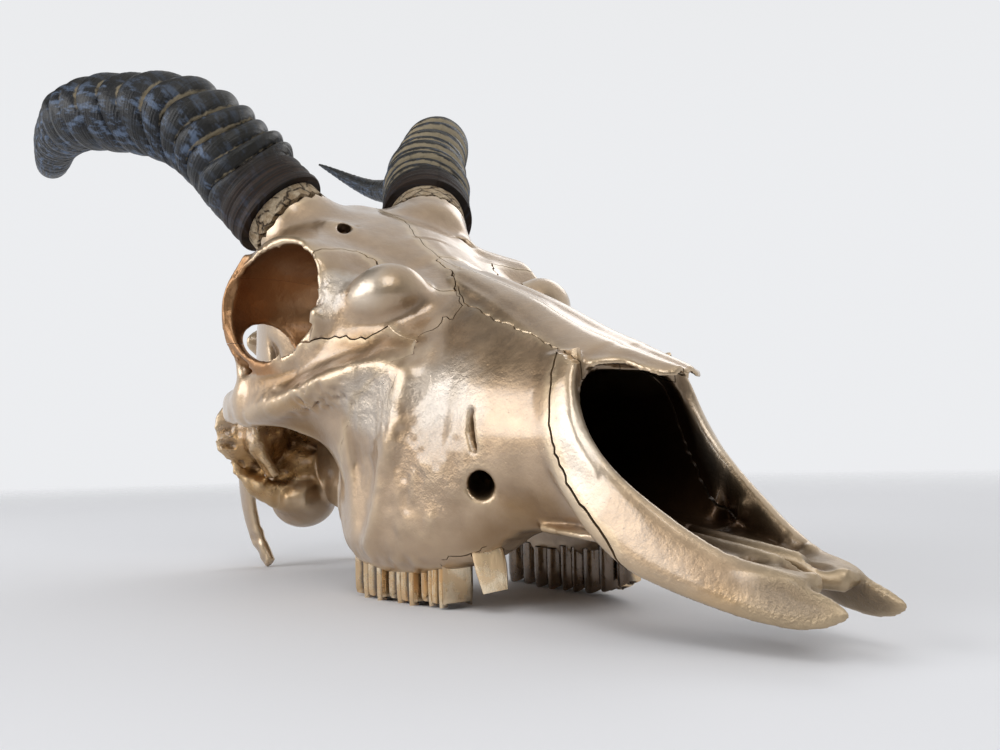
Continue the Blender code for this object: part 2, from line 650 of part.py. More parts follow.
def take(bone, name, region):
    """Parts a node from the bone: what lies in the region becomes the node, with a thin gap around it."""
    node = copy_of(bone, name)
    boolean(node, region(-GAP / 2), "INTERSECT")
    boolean(bone, region(GAP / 2), "DIFFERENCE")
    keep_largest(node)
    return node


def nasal_region(side):
    line = [(NASAL_FRONT, 0), (NASAL_FRONT, 19)] + [(x, y) for x, y in reversed(NASAL_SUTURE)]

    def region(grow):
        rings = []
        for x in np.linspace(-6 - grow, NASAL_FRONT, 30):
            low = DORSAL(x) - NASAL_DEPTH - grow
            rings.append([Vector((x, y * side, z)) for y, z in ((-2, low), (24, low), (24, 200), (-2, 200))])
        slab = loft("slab", rings)
        half = grown([(u, v if v else 0) for u, v in line], grow)
        boolean(slab, outline_body("plan", [(u, max(v, -grow)) for u, v in half], -40, 220, "xy", side), "INTERSECT")
        return slab

    return region


def premaxilla_region(side):
    line = [(210, 57), (210, -40)] + [(x, z) for x, z in PREMAXILLA_SUTURE]
    return lambda grow: outline_body("front", grown(line, grow), -grow, 60, "xz", side)


def zygomatic_region(side):
    def region(grow):
        rings = []
        for share in (0, 1):
            ring = []
            for x, z in grown(ZYGOMATIC_OUTLINE, grow):
                y = ZYGOMATIC_DEPTH(x) - grow if share == 0 else 90
                ring.append(Vector((x, y * side, z)))
            rings.append(ring)
        return loft("cheek", rings)

    return region


def face_region(grow):
    line = [(240, 90), *FACE_SUTURE[::-1], *((x, -y) for x, y in FACE_SUTURE[1:]), (240, -90)]
    return outline_body("face_front", grown(line, grow), -60, 230, "xy", slant=FACE_SLANT)


def half_region(side, low_x=-400):
    line = [(low_x, 0), (400, 0), (400, 90), (low_x, 90)]
    return lambda grow: outline_body("half", [(x, y - grow if y == 0 else y) for x, y in line], -60, 260, "xy", side)


def frontal_region(side):
    def region(grow):
        rings = []
        for x, z in FRONTAL_FLOOR:
            rings.append([Vector((x, y * side, h)) for y, h in ((-grow, z - grow), (80, z - grow), (80, 240), (-grow, 240))])
        return loft("forehead", rings)

    return region


def drum_region(side_name, start, end):
    """A stretch of a horn's own axis, with all that lies round it."""
    side = SIDES[side_name]
    foot, along = horn_axis(side_name)

    def region(grow):
        wide = (2 * (CORE_CUT + grow),) * 2
        ends = (foot + along * (start - grow), foot + along * (end + grow))
        return rod("drum", ends, wide, wide, side, steps=2, around=32, squareness=2)

    return region


def box_region(side, low, high):
    return lambda grow: outline_body("box", grown([(low[0], low[2]), (high[0], low[2]), (high[0], high[2]),
                                                   (low[0], high[2])], grow), low[1] - grow, high[1] + grow, "xz", side)


def part_bone(bone):
    """Divides the bone along its sutures into named nodes."""
    for side_name, side in SIDES.items():
        take(bone, f"nasal_{side_name}", nasal_region(side))
        take(bone, f"premaxilla_{side_name}", premaxilla_region(side))
        take(bone, f"zygomatic_{side_name}", zygomatic_region(side))
        take(bone, f"horn_core_{side_name}", drum_region(side_name, -CORE_BAND, -GAP))
        boolean(bone, drum_region(side_name, 0, 20)(GAP), "DIFFERENCE")
    face = take(bone, "face", face_region)
    jaws = {"left": take(face, "maxilla_left", half_region(1)), "right": face}
    face.name = "maxilla_right"
    keep_largest(face)
    for side_name, side in SIDES.items():
        take(bone, f"bulla_{side_name}", box_region(side, (-100, 7, -20), (-60, 34, 24)))
        take(bone, f"paroccipital_{side_name}", box_region(side, (-140, 15, -40), (-97, 50, 33)))
        take(bone, f"frontal_{side_name}", frontal_region(side))
    bone.name = "braincase"
    keep_largest(bone)
    return jaws


def horn(side_name):
    """A ringed horn sheath, from its rim to its tip."""
    side = SIDES[side_name]
    path = smooth_path(HORN_PATHS[side_name])
    rings = []
    stations = []
    for i in range(HORN_RINGS):
        t = HORN_RING_SHARE * (i + 0.5) / HORN_RINGS
        step = HORN_RING_SHARE / HORN_RINGS
        stations += [(t - 0.42 * step, -0.6), (t + 0.12 * step, 1.0), (t + 0.3 * step, 0.9)]
    stations += [(t, 0.0) for t in np.linspace(HORN_RING_SHARE + 0.02, 0.995, 11)]
    for t, crest in [(0, 0), *stations[1:]]:
        along = (path(min(t + 0.01, 1)) - path(max(t - 0.01, 0))).normalized()
        along = along.lerp(horn_axis(side_name)[1], max(1 - t / 0.06, 0)).normalized()
        out = Vector((0, 1, 0))
        out = (out - along * out.dot(along)).normalized()
        up = along.cross(out) * -1
        radius = HORN_RADIUS * (1 - t ** 1.35) ** 0.878 + 0.5
        ring = []
        for angle in np.linspace(0, 2 * math.pi, HORN_AROUND, endpoint=False):
            strength = 0.65 + 0.35 * math.cos(angle)
            r = radius + crest * HORN_RING_HEIGHT * strength
            p = path(t) + up * (r * math.cos(angle)) + out * (r * math.sin(angle))
            ring.append(Vector((p.x, p.y * side, p.z)))
        rings.append(ring)
    return loft(f"horn_{side_name}", rings)


def tooth(name, back, front, across, low, side, grow=0.0):
    """A tall cheek tooth with one or two lobes, folded on the cheek side, its root end in the socket."""
    length = front - back - 0.4
    middle = (front + back) / 2
    lobes = 1 if length < 9 else 2
    outline = []
    count = 7 * lobes
    for i in range(count + 1):
        u = i / count
        outline.append((middle + length * (u - 0.5), across / 2 - 0.9 + 0.9 * math.cos(2 * math.pi * lobes * u)))
    for i in range(count + 1):
        u = 1 - i / count
        bulge = abs(math.sin(math.pi * lobes * u)) ** 0.6
        outline.append((middle + length * (u - 0.5) * 0.94, -across / 2 + 2.2 - 2.2 * bulge))
    centre = SOCKET_HALF(middle) - 1.4 - across / 2
    high = SOCKET_EDGE(middle) + SOCKET_DEPTH + grow
    return outline_body(name, grown([(x, y + centre) for x, y in outline], grow), low, high, "xy", side)


def broken_tooth(grow=0.0):
    x, y, z = BROKEN_TOOTH
    path = ((x - 2, y, z + 6 + grow), (x, y, z), (x + 2, y - 0.5, z - 7))
    return rod("premolar_2_right", path, [w + 2 * grow for w in (9, 9, 7)], [w + 2 * grow for w in (3.2, 3.2, 2.6)],
               -1, steps=6, around=12)


def teeth(bones):
    """The cheek teeth, each in a socket that is cut in the jaw with a thin gap round the tooth."""
    for side_name, side in SIDES.items():
        jaw = bones[side_name]
        for name, (back, front, across, low) in TEETH.items():
            if side_name == "left" or name in RIGHT_TEETH:
                boolean(jaw, tooth("socket", back, front, across, low - 20, side, GAP), "DIFFERENCE")
                tooth(f"{name}_{side_name}", back, front, across, low, side)
    boolean(bones["right"], broken_tooth(GAP), "DIFFERENCE")
    broken_tooth()


def stand():
    """Turns every node from millimetres to metres, with the origin in the middle of its footprint on the table."""
    x, y = FOOTPRINT_MIDDLE
    move = Matrix.Scale(MM, 4) @ Matrix.Translation((-x, -y, TOOTH_DROP))
    for obj in bpy.context.scene.objects:
        obj.data.transform(move)


def finish(obj, skull):
    """Puts a node's origin in its middle, hangs it on the skull, shades it and paints it."""
    corners = [Vector(corner) for corner in obj.bound_box]
    middle = sum(corners, Vector()) / len(corners)
    obj.data.transform(Matrix.Translation(-middle))
    obj.location = middle
    obj.parent = skull
    obj.data.shade_smooth()
    obj.data.set_sharp_from_angle(angle=SHARP_EDGE)
    kind = next(kind for kind in FINISHES if obj.name.startswith(kind))
    colour, roughness, metallic = FINISHES[kind]
    material = bpy.data.materials.new(obj.name)
    material.use_nodes = True
    shader = material.node_tree.nodes["Principled BSDF"]
    shader.inputs["Base Color"].default_value = (*colour, 1)
    shader.inputs["Roughness"].default_value = roughness
    shader.inputs["Metallic"].default_value = metallic
    obj.data.materials.clear()
    obj.data.materials.append(material)


def main():
    for obj in list(bpy.data.objects):
        bpy.data.objects.remove(obj)
    bone = fused_bone(BONE_VOXEL)
    thin = bone.modifiers.new("thin", "DECIMATE")
    thin.ratio = BONE_TRIANGLES / (2 * len(bone.data.polygons))
    apply_modifiers(bone)
    teeth(part_bone(bone))
    for side_name in SIDES:
        horn(side_name)
    stand()
    skull = bpy.data.objects.new("skull", None)
    nodes = list(bpy.context.scene.objects)
    bpy.context.scene.collection.objects.link(skull)
    for obj in nodes:
        finish(obj, skull)


main()
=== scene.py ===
"""The gilded blesbok skull, dressed: its bone melted together on a finer grid than the model's and
parted along its sutures again, ringed horns, folded teeth, and the paint, horn and bare bone.

Sizes are in millimetres in the skull's own frame, as in the model: X towards the nose, Y towards the
animal's left, Z up, zero behind the last molars and at the sockets of the teeth.
"""

import json
import math

import bmesh
import bpy
import numpy as np
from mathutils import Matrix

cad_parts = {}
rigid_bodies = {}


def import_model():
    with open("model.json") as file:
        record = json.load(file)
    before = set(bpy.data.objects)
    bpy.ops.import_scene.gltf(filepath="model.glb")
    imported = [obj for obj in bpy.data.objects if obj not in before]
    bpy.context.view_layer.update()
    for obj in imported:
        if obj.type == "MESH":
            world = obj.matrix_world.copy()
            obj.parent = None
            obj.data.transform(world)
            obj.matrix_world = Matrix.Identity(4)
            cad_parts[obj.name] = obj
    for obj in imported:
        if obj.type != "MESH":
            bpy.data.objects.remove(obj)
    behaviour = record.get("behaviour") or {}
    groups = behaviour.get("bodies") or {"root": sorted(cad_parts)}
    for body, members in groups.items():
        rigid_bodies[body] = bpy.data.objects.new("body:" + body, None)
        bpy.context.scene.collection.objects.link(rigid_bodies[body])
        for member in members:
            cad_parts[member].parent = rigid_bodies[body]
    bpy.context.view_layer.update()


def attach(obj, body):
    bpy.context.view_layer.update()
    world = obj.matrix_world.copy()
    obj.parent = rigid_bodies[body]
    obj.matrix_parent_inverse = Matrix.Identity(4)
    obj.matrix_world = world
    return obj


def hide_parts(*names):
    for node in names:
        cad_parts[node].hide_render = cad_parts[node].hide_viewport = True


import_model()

import openvdb
from mathutils import Matrix, Vector
from mathutils.bvhtree import BVHTree

MM = 0.001
SIDES = {"left": 1, "right": -1}
GAP = 0.3
CRACK_WIDENING = 2.5
CHEEK_WIDENING = 1.6
FACE_WIDENING = 2
CRUST_WIDENING = 7
FULL_BEND = 0.35
CLOSED_SHARE = 0.2

# Driving sizes of the skull as a whole
TOOTH_DROP = 13.3
FOOTPRINT_MIDDLE = (-58.95, 6.15)
BONE_VOXEL = 0.85
BONE_BOX = ((-142, -74, -22), (184, 74, 164))
AROUND = 150
LENGTHWISE = 150
FINE = 3
FINE_AROUND = 88

CAMERA_PLACE = (316.2, -196.1, 33.9)
CAMERA_AIM = (-0.819, 0.569, 0.073)
CAMERA_ROLL = -1.2
CAMERA_LENS = 37.43


def profile(*knots):
    """A smooth function through (x, value) knots, level past both ends."""
    xs, values = np.array(knots, float).T
    slopes = np.gradient(values, xs)

    def at(x):
        x = min(max(x, xs[0]), xs[-1])
        i = min(int(np.searchsorted(xs, x, side="right")) - 1, len(xs) - 2)
        h = xs[i + 1] - xs[i]
        t = (x - xs[i]) / h
        rise = values[i + 1] - values[i]
        return (
            values[i]
            + t * t * (3 - 2 * t) * rise
            + h * t * (1 - t) ** 2 * slopes[i]
            - h * t * t * (1 - t) * slopes[i + 1]
        )

    return at


# Side view: heights along the skull
DORSAL = profile((-127, 76), (-119, 92), (-107, 111), (-93, 126), (-78, 134), (-62, 134.5), (-45, 128.5),
                 (-27, 120.5), (-14, 112), (-3, 104.5), (25, 93.5), (52, 83), (85, 67.4), (104, 60),
                 (121, 53.6))
BRAIN_FLOOR = profile((-127, 44), (-115, 36), (-90, 32), (-60, 36), (-30, 40), (0, 46))
PALATE = profile((-12, 10), (50, 10), (77, 14), (91, 16), (112, 14))
SOCKET_EDGE = profile((-12, 6), (-4, 0), (0, -1), (49, -1), (57, 1), (64, 4), (70, 8), (77, 10.5), (91, 13),
                      (105, 11), (116, 6))
SIDE_HEIGHT = profile((-14, 64), (2, 61), (26, 61), (50, 58), (68, 55), (90, 49), (112, 44))
CHEEK_HEIGHT = profile((-14, 36), (26, 28), (68, 26), (90, 28), (112, 25))
BROW_HEIGHT = profile((-14, 97), (-3, 89), (15, 82), (26, 77), (50, 71), (68, 66), (90, 58), (112, 50))

# Plan view: half-widths along the skull
NASAL_HALF = profile((-14, 9), (24, 10.5), (52, 14), (77, 16), (99, 16.5), (112, 13))
BROW_HALF = profile((-14, 48), (-3, 46.5), (15, 36), (26, 29), (50, 22.5), (68, 20.5), (90, 19), (112, 18))
SIDE_HALF = profile((-14, 51), (2, 48), (26, 42), (50, 33), (68, 28.5), (90, 25), (112, 23))
CHEEK_HALF = profile((-14, 38), (2, 38), (15, 40.5), (26, 42.5), (40, 41.5), (50, 39), (68, 33), (90, 27.5),
                     (112, 25))
SOCKET_HALF = profile((-10, 34), (0, 37.5), (25, 36.5), (49, 32.5), (64, 28), (77, 24.5), (91, 22.5),
                      (116, 20.5))
BRAIN_HALF = profile((-127, 19), (-118, 24), (-105, 29.5), (-95, 33.5), (-84, 36.5), (-68, 37), (-55, 33),
                     (-40, 28), (-2, 25))
ROOF_HALF = profile((-64, 41), (-56, 48), (-46, 53.5), (-36, 53), (-24, 48), (-10, 46), (0, 44), (12, 37),
                    (24, 29))
ROOF_DROP = profile((-64, 30), (-56, 28), (-46, 23), (-36, 15.5), (-24, 10), (-10, 11), (0, 13), (12, 15),
                    (24, 17))
ROOF_SINK = profile((-12, 0), (0, 0.5), (12, 2.5), (24, 5))
ROOF_THICKNESS = 6.0

# The hollow of the nose
NOSE_HALF = profile((12, 8), (25, 16), (50, 20), (90, 20.5), (112, 20.8), (128, 19), (150, 13.5), (170, 5))
NOSE_FLOOR = profile((12, 40), (25, 26), (50, 16), (77, 17), (100, 15), (128, 4), (150, -12), (170, -12))
NOSE_BACK = 97
NOSE_EDGE = ((NOSE_BACK, 61), (99, 50), (102.5, 42), (110, 31), (124, 19.5), (140, 10.5), (158, 5),
             (186, 2))
NOSE_ROOF = profile((12, 80), (25, 86), (52, 76), (85, 61), (104, 54), (128, 60), (170, 60))

# The rim of an eye socket, from its front edge over the top, down the back and forward underneath
ORBIT_RIM = ((-2.5, 47.5, 88), (-7, 46.5, 100), (-23, 48.6, 109.3), (-41, 56, 105.5), (-53, 62, 92),
             (-52.5, 62, 77), (-43, 59.8, 67.5), (-29, 57.2, 65), (-16, 54.3, 70.5), (-8, 51.8, 76.5))
ORBIT_CENTRE = Vector((-29, 46, 87.5))
ORBIT_RADII = Vector((25.2, 27, 22))
ORBIT_TURN = 14
ORBIT_WALL = Vector((1.9, 2.4, 2.4))
ORBIT_MOUTH = Vector((-26.5, 53.8, 88.4))
ORBIT_FACING = Vector((0.27, 0.94, 0.13))

# The path of each horn sheath's middle, from its rim to its tip
HORN_PATHS = {
    "right": ((-65, 34.5, 129), (-96, 60, 168), (-143, 88, 182), (-196, 90, 186.5), (-253, 83, 188),
              (-293, 78, 227)),
    "left": ((-67, 33, 134), (-106, 57, 166.5), (-144, 86, 193), (-194, 105, 190), (-248, 106, 197),
             (-294, 88, 222)),
}
HORN_RADIUS = 18.9
HORN_RING_SHARE = 0.66
HORN_RINGS = 16
HORN_RIM_SHARE = 0.045
CORE_RADIUS = 17.0
CORE_DEPTH = 6.0
CORE_CUT = 23.0
CORE_BANDS = {"right": 7.5, "left": 13.0}

# Cheek teeth of one side: name, back edge, front edge, width across, height of the biting edge
TEETH = {
    "molar_3": (0.0, 19.0, 13.5, -13.3),
    "molar_2": (19.4, 35.4, 14.0, -13.3),
    "molar_1": (35.8, 48.8, 12.5, -12.8),
    "premolar_4": (49.2, 58.6, 11.0, -12.2),
    "premolar_3": (59.0, 66.8, 9.5, -10.8),
    "premolar_2": (67.2, 73.0, 7.0, -8.5),
}
RIGHT_TEETH = ("molar_3", "molar_2", "molar_1")

# Where the bones meet: nasal in plan (x, y), premaxilla and cheek bone in side view (x, z), and the
# line in plan where forehead and face meet, which leans back as it goes down
NASAL_SUTURE = ((2, 0), (4.6, 6), (10, 6.5), (18, 7.7), (25, 11), (37.6, 15), (54.4, 16.8), (77, 16.3),
                (90, 17), (99, 17.5), (108, 18.5))
MIDDLE_SUTURE = profile((-90, 0), (-27, 0), (-16, -2.5), (-7, -4), (2, -3.5), (31, -3.6), (56, -3),
                        (78, -4.5), (121, -1))
NASAL_FRONT = 126
NASAL_DEPTH = 9.5
PREMAXILLA_SUTURE = ((126, -10), (123, 3), (118.5, 10), (111, 18), (104.5, 24), (98, 33), (96, 39),
                     (93.5, 48), (89, 62), (80, 65.5), (100, 57))
ZYGOMATIC_OUTLINE = ((-8, 72), (4, 73), (16, 71), (23.4, 75.8), (25.2, 76.7), (33.4, 70), (37.8, 64.4),
                     (33.3, 62.5), (14, 50), (2, 36), (-4, 20), (-62, 20), (-62, 76))
ZYGOMATIC_DEPTH = profile((-62, 50), (-30, 45), (0, 40), (35, 32))
FACE_SUTURE = ((2, 0), (4.4, 6), (9.8, 6.5), (18.8, 7.7), (26.5, 11), (29.4, 12.6), (25.3, 16.3),
               (19.2, 21), (16.2, 23), (4, 24.2), (-6.6, 25.5), (-12.7, 29), (-12, 36), (-10.4, 42),
               (-8, 52), (-14, 90))
FACE_SLANT = 0.15
SLANT_LEVEL = 100
FRONTAL_FLOOR = ((-84, 200), (-82, 128), (-76, 112), (-60, 104), (-30, 92), (-4, 84), (30, 76))
SOCKET_DEPTH = 4.0
BROKEN_TOOTH = (63, 26, 2)
CRACK_DEPTH = 1.4
LONG_RUN = 38
HORN_RING_HEIGHT = 2.0


def circle(count):
    """The cosines and sines of angles spread evenly round a circle."""
    angles = np.linspace(0, 2 * math.pi, count, endpoint=False)
    return [(math.cos(angle), math.sin(angle)) for angle in angles]


def bent(value, power):
    """The value's power with its sign kept, which squares a circle or flattens it."""
    return abs(value) ** power * math.copysign(1, value)


def add_object(name, data):
    """A new object that shows the data, linked to the scene."""
    obj = bpy.data.objects.new(name, data)
    bpy.context.scene.collection.objects.link(obj)
    return obj


def smooth_path(points):
    """A function from 0..1 to the point that far along a smooth curve through the points."""
    points = [Vector(p) for p in points]
    reach = np.cumsum([0] + [(b - a).length for a, b in zip(points, points[1:])])
    axes = [profile(*zip(reach, [p[i] for p in points])) for i in range(3)]
    return lambda t: Vector([axis(t * reach[-1]) for axis in axes])


def finish_mesh(name, bm):
    bmesh.ops.remove_doubles(bm, verts=bm.verts, dist=1e-4)
    bmesh.ops.recalc_face_normals(bm, faces=bm.faces)
    if bm.calc_volume(signed=True) < 0:
        bmesh.ops.reverse_faces(bm, faces=bm.faces)
    bmesh.ops.triangulate(bm, faces=bm.faces)
    mesh = bpy.data.meshes.new(name)
    bm.to_mesh(mesh)
    bm.free()
    return add_object(name, mesh)


def loft(name, rings):
    """A closed body through rings of points, each end drawn in to the middle of its ring."""
    ends = [sum(ring, Vector()) / len(ring) for ring in (rings[0], rings[-1])]
    count = len(rings[0])
    rows = [[ends[0]] * count, *rings, [ends[1]] * count]
    bm = bmesh.new()
    bmesh.ops.create_grid(bm, x_segments=count, y_segments=len(rows) - 1, size=1)
    for vert in bm.verts:
        u = round((vert.co.x + 1) / 2 * count)
        v = round((vert.co.y + 1) / 2 * (len(rows) - 1))
        vert.co = rows[v][u % count]
    return finish_mesh(name, bm)


def rod(name, points, widths, depths, across=(0, 1, 0), steps=24, around=20, squareness=2.4, rounded=0.0,
        side=1):
    """A tapering bar along a smooth path. Its depth lies along across, its width at right angles."""
    path = smooth_path(points)
    shares = np.linspace(0, 1, len(widths))
    width = profile(*zip(shares, widths))
    depth = profile(*zip(shares, depths))
    rings = []
    for t in np.linspace(0, 1, steps * FINE):
        along = (path(min(t + 0.01, 1)) - path(max(t - 0.01, 0))).normalized()
        thick = Vector(across)
        thick = (thick - along * thick.dot(along)).normalized()
        wide = along.cross(thick)
        ring = []
        close = max((t - 1 + rounded) / rounded, 0) if rounded else 0
        close = math.sqrt(max(1 - close * close, 0.02))
        for c, s in circle(around * FINE // 2):
            p = path(t) + wide * (close * width(t) / 2 * bent(c, 2 / squareness))
            p += thick * (close ** 0.4 * depth(t) / 2 * bent(s, 2 / squareness))
            ring.append(Vector((p.x, p.y * side, p.z)))
        rings.append(ring)
    return loft(name, rings)


def ball(name, centre, radii, turn=(0, 0, 0), subdivisions=3):
    """An ellipsoid, turned by three angles in degrees about X, Y and Z."""
    bm = bmesh.new()
    bmesh.ops.create_icosphere(bm, subdivisions=subdivisions + 2, radius=1)
    spin = Matrix.Rotation(math.radians(turn[2]), 4, "Z") @ Matrix.Rotation(math.radians(turn[1]), 4, "Y")
    spin = spin @ Matrix.Rotation(math.radians(turn[0]), 4, "X")
    bm.transform(Matrix.Translation(centre) @ spin @ Matrix.Diagonal((*radii, 1)))
    return finish_mesh(name, bm)


def mirrored_ring(x, points):
    """A closed section of the face, from a smooth (y, z) line down one side and its mirror image."""
    path = smooth_path([(0, y, z) for y, z in points])
    half = [path(t) for t in np.linspace(0, 1, AROUND // 2 + 1)]
    right = [Vector((x, p.y, p.z)) for p in half]
    left = [Vector((x, -p.y, p.z)) for p in reversed(half[1:-1])]
    return right + left


def face_block():
    """The long face: nasals on top, lacrimals and maxillae down its sides, the palate below."""
    rings = []
    for x in np.linspace(-12, 112, LENGTHWISE):
        top = DORSAL(x)
        nasal = NASAL_HALF(x)
        socket = SOCKET_HALF(x)
        edge = SOCKET_EDGE(x)
        rings.append(mirrored_ring(x, (
            (0, top), (nasal * 0.5, top + 0.2), (nasal, top - 4.6), (BROW_HALF(x), BROW_HEIGHT(x)),
            (SIDE_HALF(x), SIDE_HEIGHT(x)), (CHEEK_HALF(x), CHEEK_HEIGHT(x)), (socket, edge + 2),
            (socket - 2.5, edge), (socket - 12, edge + 1), (socket - 16, PALATE(x) - 1), (0, PALATE(x)),
        )))
    return loft("face", rings)


def brain_case():
    """The rounded box behind the eyes, drawn in between them."""
    rings = []
    for x in np.linspace(-127, -2, LENGTHWISE):
        top, floor, half = DORSAL(x) - 1.5, BRAIN_FLOOR(x), BRAIN_HALF(x)
        middle, tall = (top + floor) / 2, (top - floor) / 2
        rings.append([Vector((x, half * bent(s, 0.8), middle + tall * bent(c, 0.8)))
                      for c, s in circle(AROUND)])
    return loft("brain_case", rings)


def frontal_roof():
    """The plate of the forehead, which reaches out over both eyes and sinks into the face in front."""
    rings = []
    for x in np.linspace(-64, 24, 40):
        top, half, drop = DORSAL(x) - ROOF_SINK(x), ROOF_HALF(x), ROOF_DROP(x)
        over = [Vector((x, half * u, top - drop * u * u)) for u in np.linspace(-1, 1, AROUND // 2)]
        under = [Vector((x, p.y * 0.985, p.z - ROOF_THICKNESS)) for p in reversed(over)]
        rings.append(over + under)
    return loft("frontal_roof", rings)


def orbit_walls():
    """The cup round an eye, the bar behind it, the cheek plate under it and the arch."""
    return [
        ball("cup", ORBIT_CENTRE, ORBIT_RADII + ORBIT_WALL, (0, 0, ORBIT_TURN), subdivisions=4),
        rod("bar", ((-46, 54, 106), (-53.6, 57.5, 93), (-53.4, 57.5, 80), (-48.5, 56.5, 69), (-46, 57, 56)),
            (9, 3.6, 3.0, 4, 9), (6, 8.5, 8.5, 7, 5)),
        cheek_plate(),
        rod("arch", ((-44, 57, 52), (-60, 57, 52), (-72, 54, 52.5), (-86, 47, 51.5), (-101, 37, 51)),
            (12, 11, 11, 9, 12), (5.5, 4.4, 4.4, 5.5, 12)),
    ]


def orbit_hollows():
    """What is cut from those: all in front of the rim, the eye's own hollow and the way into the temple."""
    return [
        rod("mouth", (ORBIT_MOUTH, ORBIT_MOUTH + ORBIT_FACING * 40), (53, 70), (52, 70), across=(0, 0, 1),
            steps=4, around=40, squareness=2),
        ball("orbit", ORBIT_CENTRE, ORBIT_RADII, (0, 0, ORBIT_TURN), subdivisions=4),
        rod("temple_way", ((-34, 46, 75), (-50, 47, 74), (-72, 46, 71)), (22, 19, 24), (17, 19, 26),
            across=(0, 0, 1), squareness=2.2),
    ]


def orbit_rim():
    loop = [*ORBIT_RIM, *ORBIT_RIM[:2]]
    return rod("rim", loop, (1.3, 1.6, 0.9, 0.8, 1.2), (1.3, 1.5, 0.9, 0.8, 1.2), steps=80, around=14,
               squareness=2)


def rim_crust():
    """Small beads of thick paint and chipped bone along the front and the top of an eye's rim."""
    rng = np.random.default_rng(21)
    path = smooth_path([(-4, 51, 77), *ORBIT_RIM[:5]])
    beads = []
    for t in np.linspace(0.02, 0.9, 46):
        place = path(t) + Vector(rng.uniform(-0.7, 0.7, 3))
        beads.append(ball("bead", place, rng.uniform(0.5, 1.15, 3), subdivisions=0))
    beads.append(ball("bead", (-2, 49.5, 81), (2.4, 1.9, 2.4)))
    return beads


def cheek_plate():
    """The cheek bone, from the back of the face under the eye to the arch, with its slanting lower edge."""
    top = profile((-56, 55), (-50, 57), (-43, 62), (-30, 65), (-11, 71), (6, 74))
    low = profile((-56, 47), (-40, 46), (-23, 42), (-8, 32), (1, 16), (6, 5))
    out = profile((-56, 58.5), (-46, 60), (-30, 58), (-11, 52), (6, 46))
    tuck = profile((-56, 1), (-30, 4), (-11, 9), (6, 9))
    rings = []
    for x in np.linspace(-56, 6, 30):
        ring = []
        for c, s in circle(28):
            share = (c + 1) / 2
            z = low(x) + (top(x) - low(x)) * share
            y = out(x) - tuck(x) * (1 - share) ** 1.5 - 3.2 + 3.2 * bent(s, 0.7)
            ring.append(Vector((x, y, z)))
        rings.append(ring)
    return loft("cheek", rings)


def face_relief():
    """The ridge from the cheek bone along the face, and the swelling in front of the eye."""
    return [
        rod("crest", ((-46, 55.5, 50), (-26, 54.8, 51.5), (-9, 50.2, 54.5), (8, 45.5, 58), (24, 38, 60.5),
                      (38, 28, 63)),
            (6, 8, 8, 9, 9, 6), (5, 6, 7, 8, 8, 6), steps=36, squareness=2),
        ball("swelling", (15, 29.7, 85.6), (12, 11.6, 10.8), (0, 14, -36)),
        ball("tuber", (30, 33, 12), (24, 8, 13), (0, 0, -6)),
    ]


def face_hollows():
    """The shallow hollows above and below that ridge."""
    return [
        rod("tear_hollow", ((-4, 62, 71), (12, 59, 72), (28, 53.5, 73), (46, 45, 75)), (14, 18, 18, 14),
            (20, 22, 22, 18), across=(0, 0, 1), squareness=2),
        rod("muscle_hollow", ((8, 64, 44), (26, 61, 46), (44, 54, 47)), (20, 26, 24), (26, 26, 24),
            across=(0, 0, 1), squareness=2),
    ]


def skull_base():
    """What hangs below the braincase on one side: ear, process, condyle and wing bones."""
    return [
        ball("glenoid", (-95, 33, 47), (12, 12.5, 7.5), (0, 0, 20)),
        rod("flange", ((-90, 46, 53), (-89, 50.5, 49), (-87.5, 51, 42), (-86, 49, 35), (-82, 43, 27)),
            (6, 5, 6, 5, 4), (3, 2.6, 2.4, 2.6, 3), across=(1, 0.3, 0)),
        *(rod("fold", ((-72 - 5 * i, 41 + i, 49), (-70 - 5 * i, 42 + i, 40), (-68 - 5 * i, 36 + i, 26 + i)),
              (2, 3.4, 3), (3, 5, 4)) for i in range(3)),
        ball("tip_plate", (-61, 55, 54), (5.4, 1.7, 5.4), (0, 0, 8)),
        ball("ear_root", (-106, 29, 46), (13, 12, 17)),
        ball("ear_tube", (-99, 33, 34), (6.5, 10, 6), (25, 0, 10)),
        ball("bulla", (-80, 19.5, 16.5), (18.5, 12.6, 11.8), (0, -4, 8)),
        ball("bulla_root", (-84, 20, 27), (17, 12, 12)),
        rod("lip", ((-83, 45, 29), (-79, 39, 21.5), (-73, 31, 17.5), (-64, 24, 17)), (6, 9, 10, 8),
            (6, 8, 9, 8)),
        ball("condyle", (-125, 13, 44), (8, 8.5, 13), (0, 0, 25)),
        rod("process", ((-114, 28, 42), (-120, 28, 27), (-122, 26.5, 13), (-118, 24.5, 0),
                        (-110, 21.5, -11.8)),
            (22, 16, 12.5, 10, 6), (8, 5.5, 4.4, 4.2, 3.8)),
        rod("wing", ((0, 15, 22), (-18, 15, 24), (-38, 15, 27), (-60, 15.5, 27), (-70, 16, 30)),
            (26, 30, 30, 28, 16), (4, 4, 5, 8, 8)),
        ball("temple_root", (-85, 37, 41), (15, 12, 13), (0, 0, 15)),
        rod("tuber", ((14, 30, 20), (0, 30, 22), (-9, 27, 30)), (34, 30, 16), (18, 16, 10)),
    ]


def middle_base():
    return [
        rod("keel", ((-120, 0, 35), (-98, 0, 30), (-75, 0, 30), (-45, 0, 36)), (14, 12, 10, 10),
            (26, 24, 18, 12)),
        rod("vomer", ((-60, 0, 36), (-20, 0, 32), (30, 0, 18)), (12, 14, 12), (4, 4, 4)),
        ball("nape", (-121, 0, 84), (5, 28, 10)),
    ]


def horn_axis(side_name):
    """Where a horn leaves the skull and in which direction, on the side of positive Y."""
    path = smooth_path(HORN_PATHS[side_name])
    start = path(0)
    return start, (path(0.06) - start).normalized()


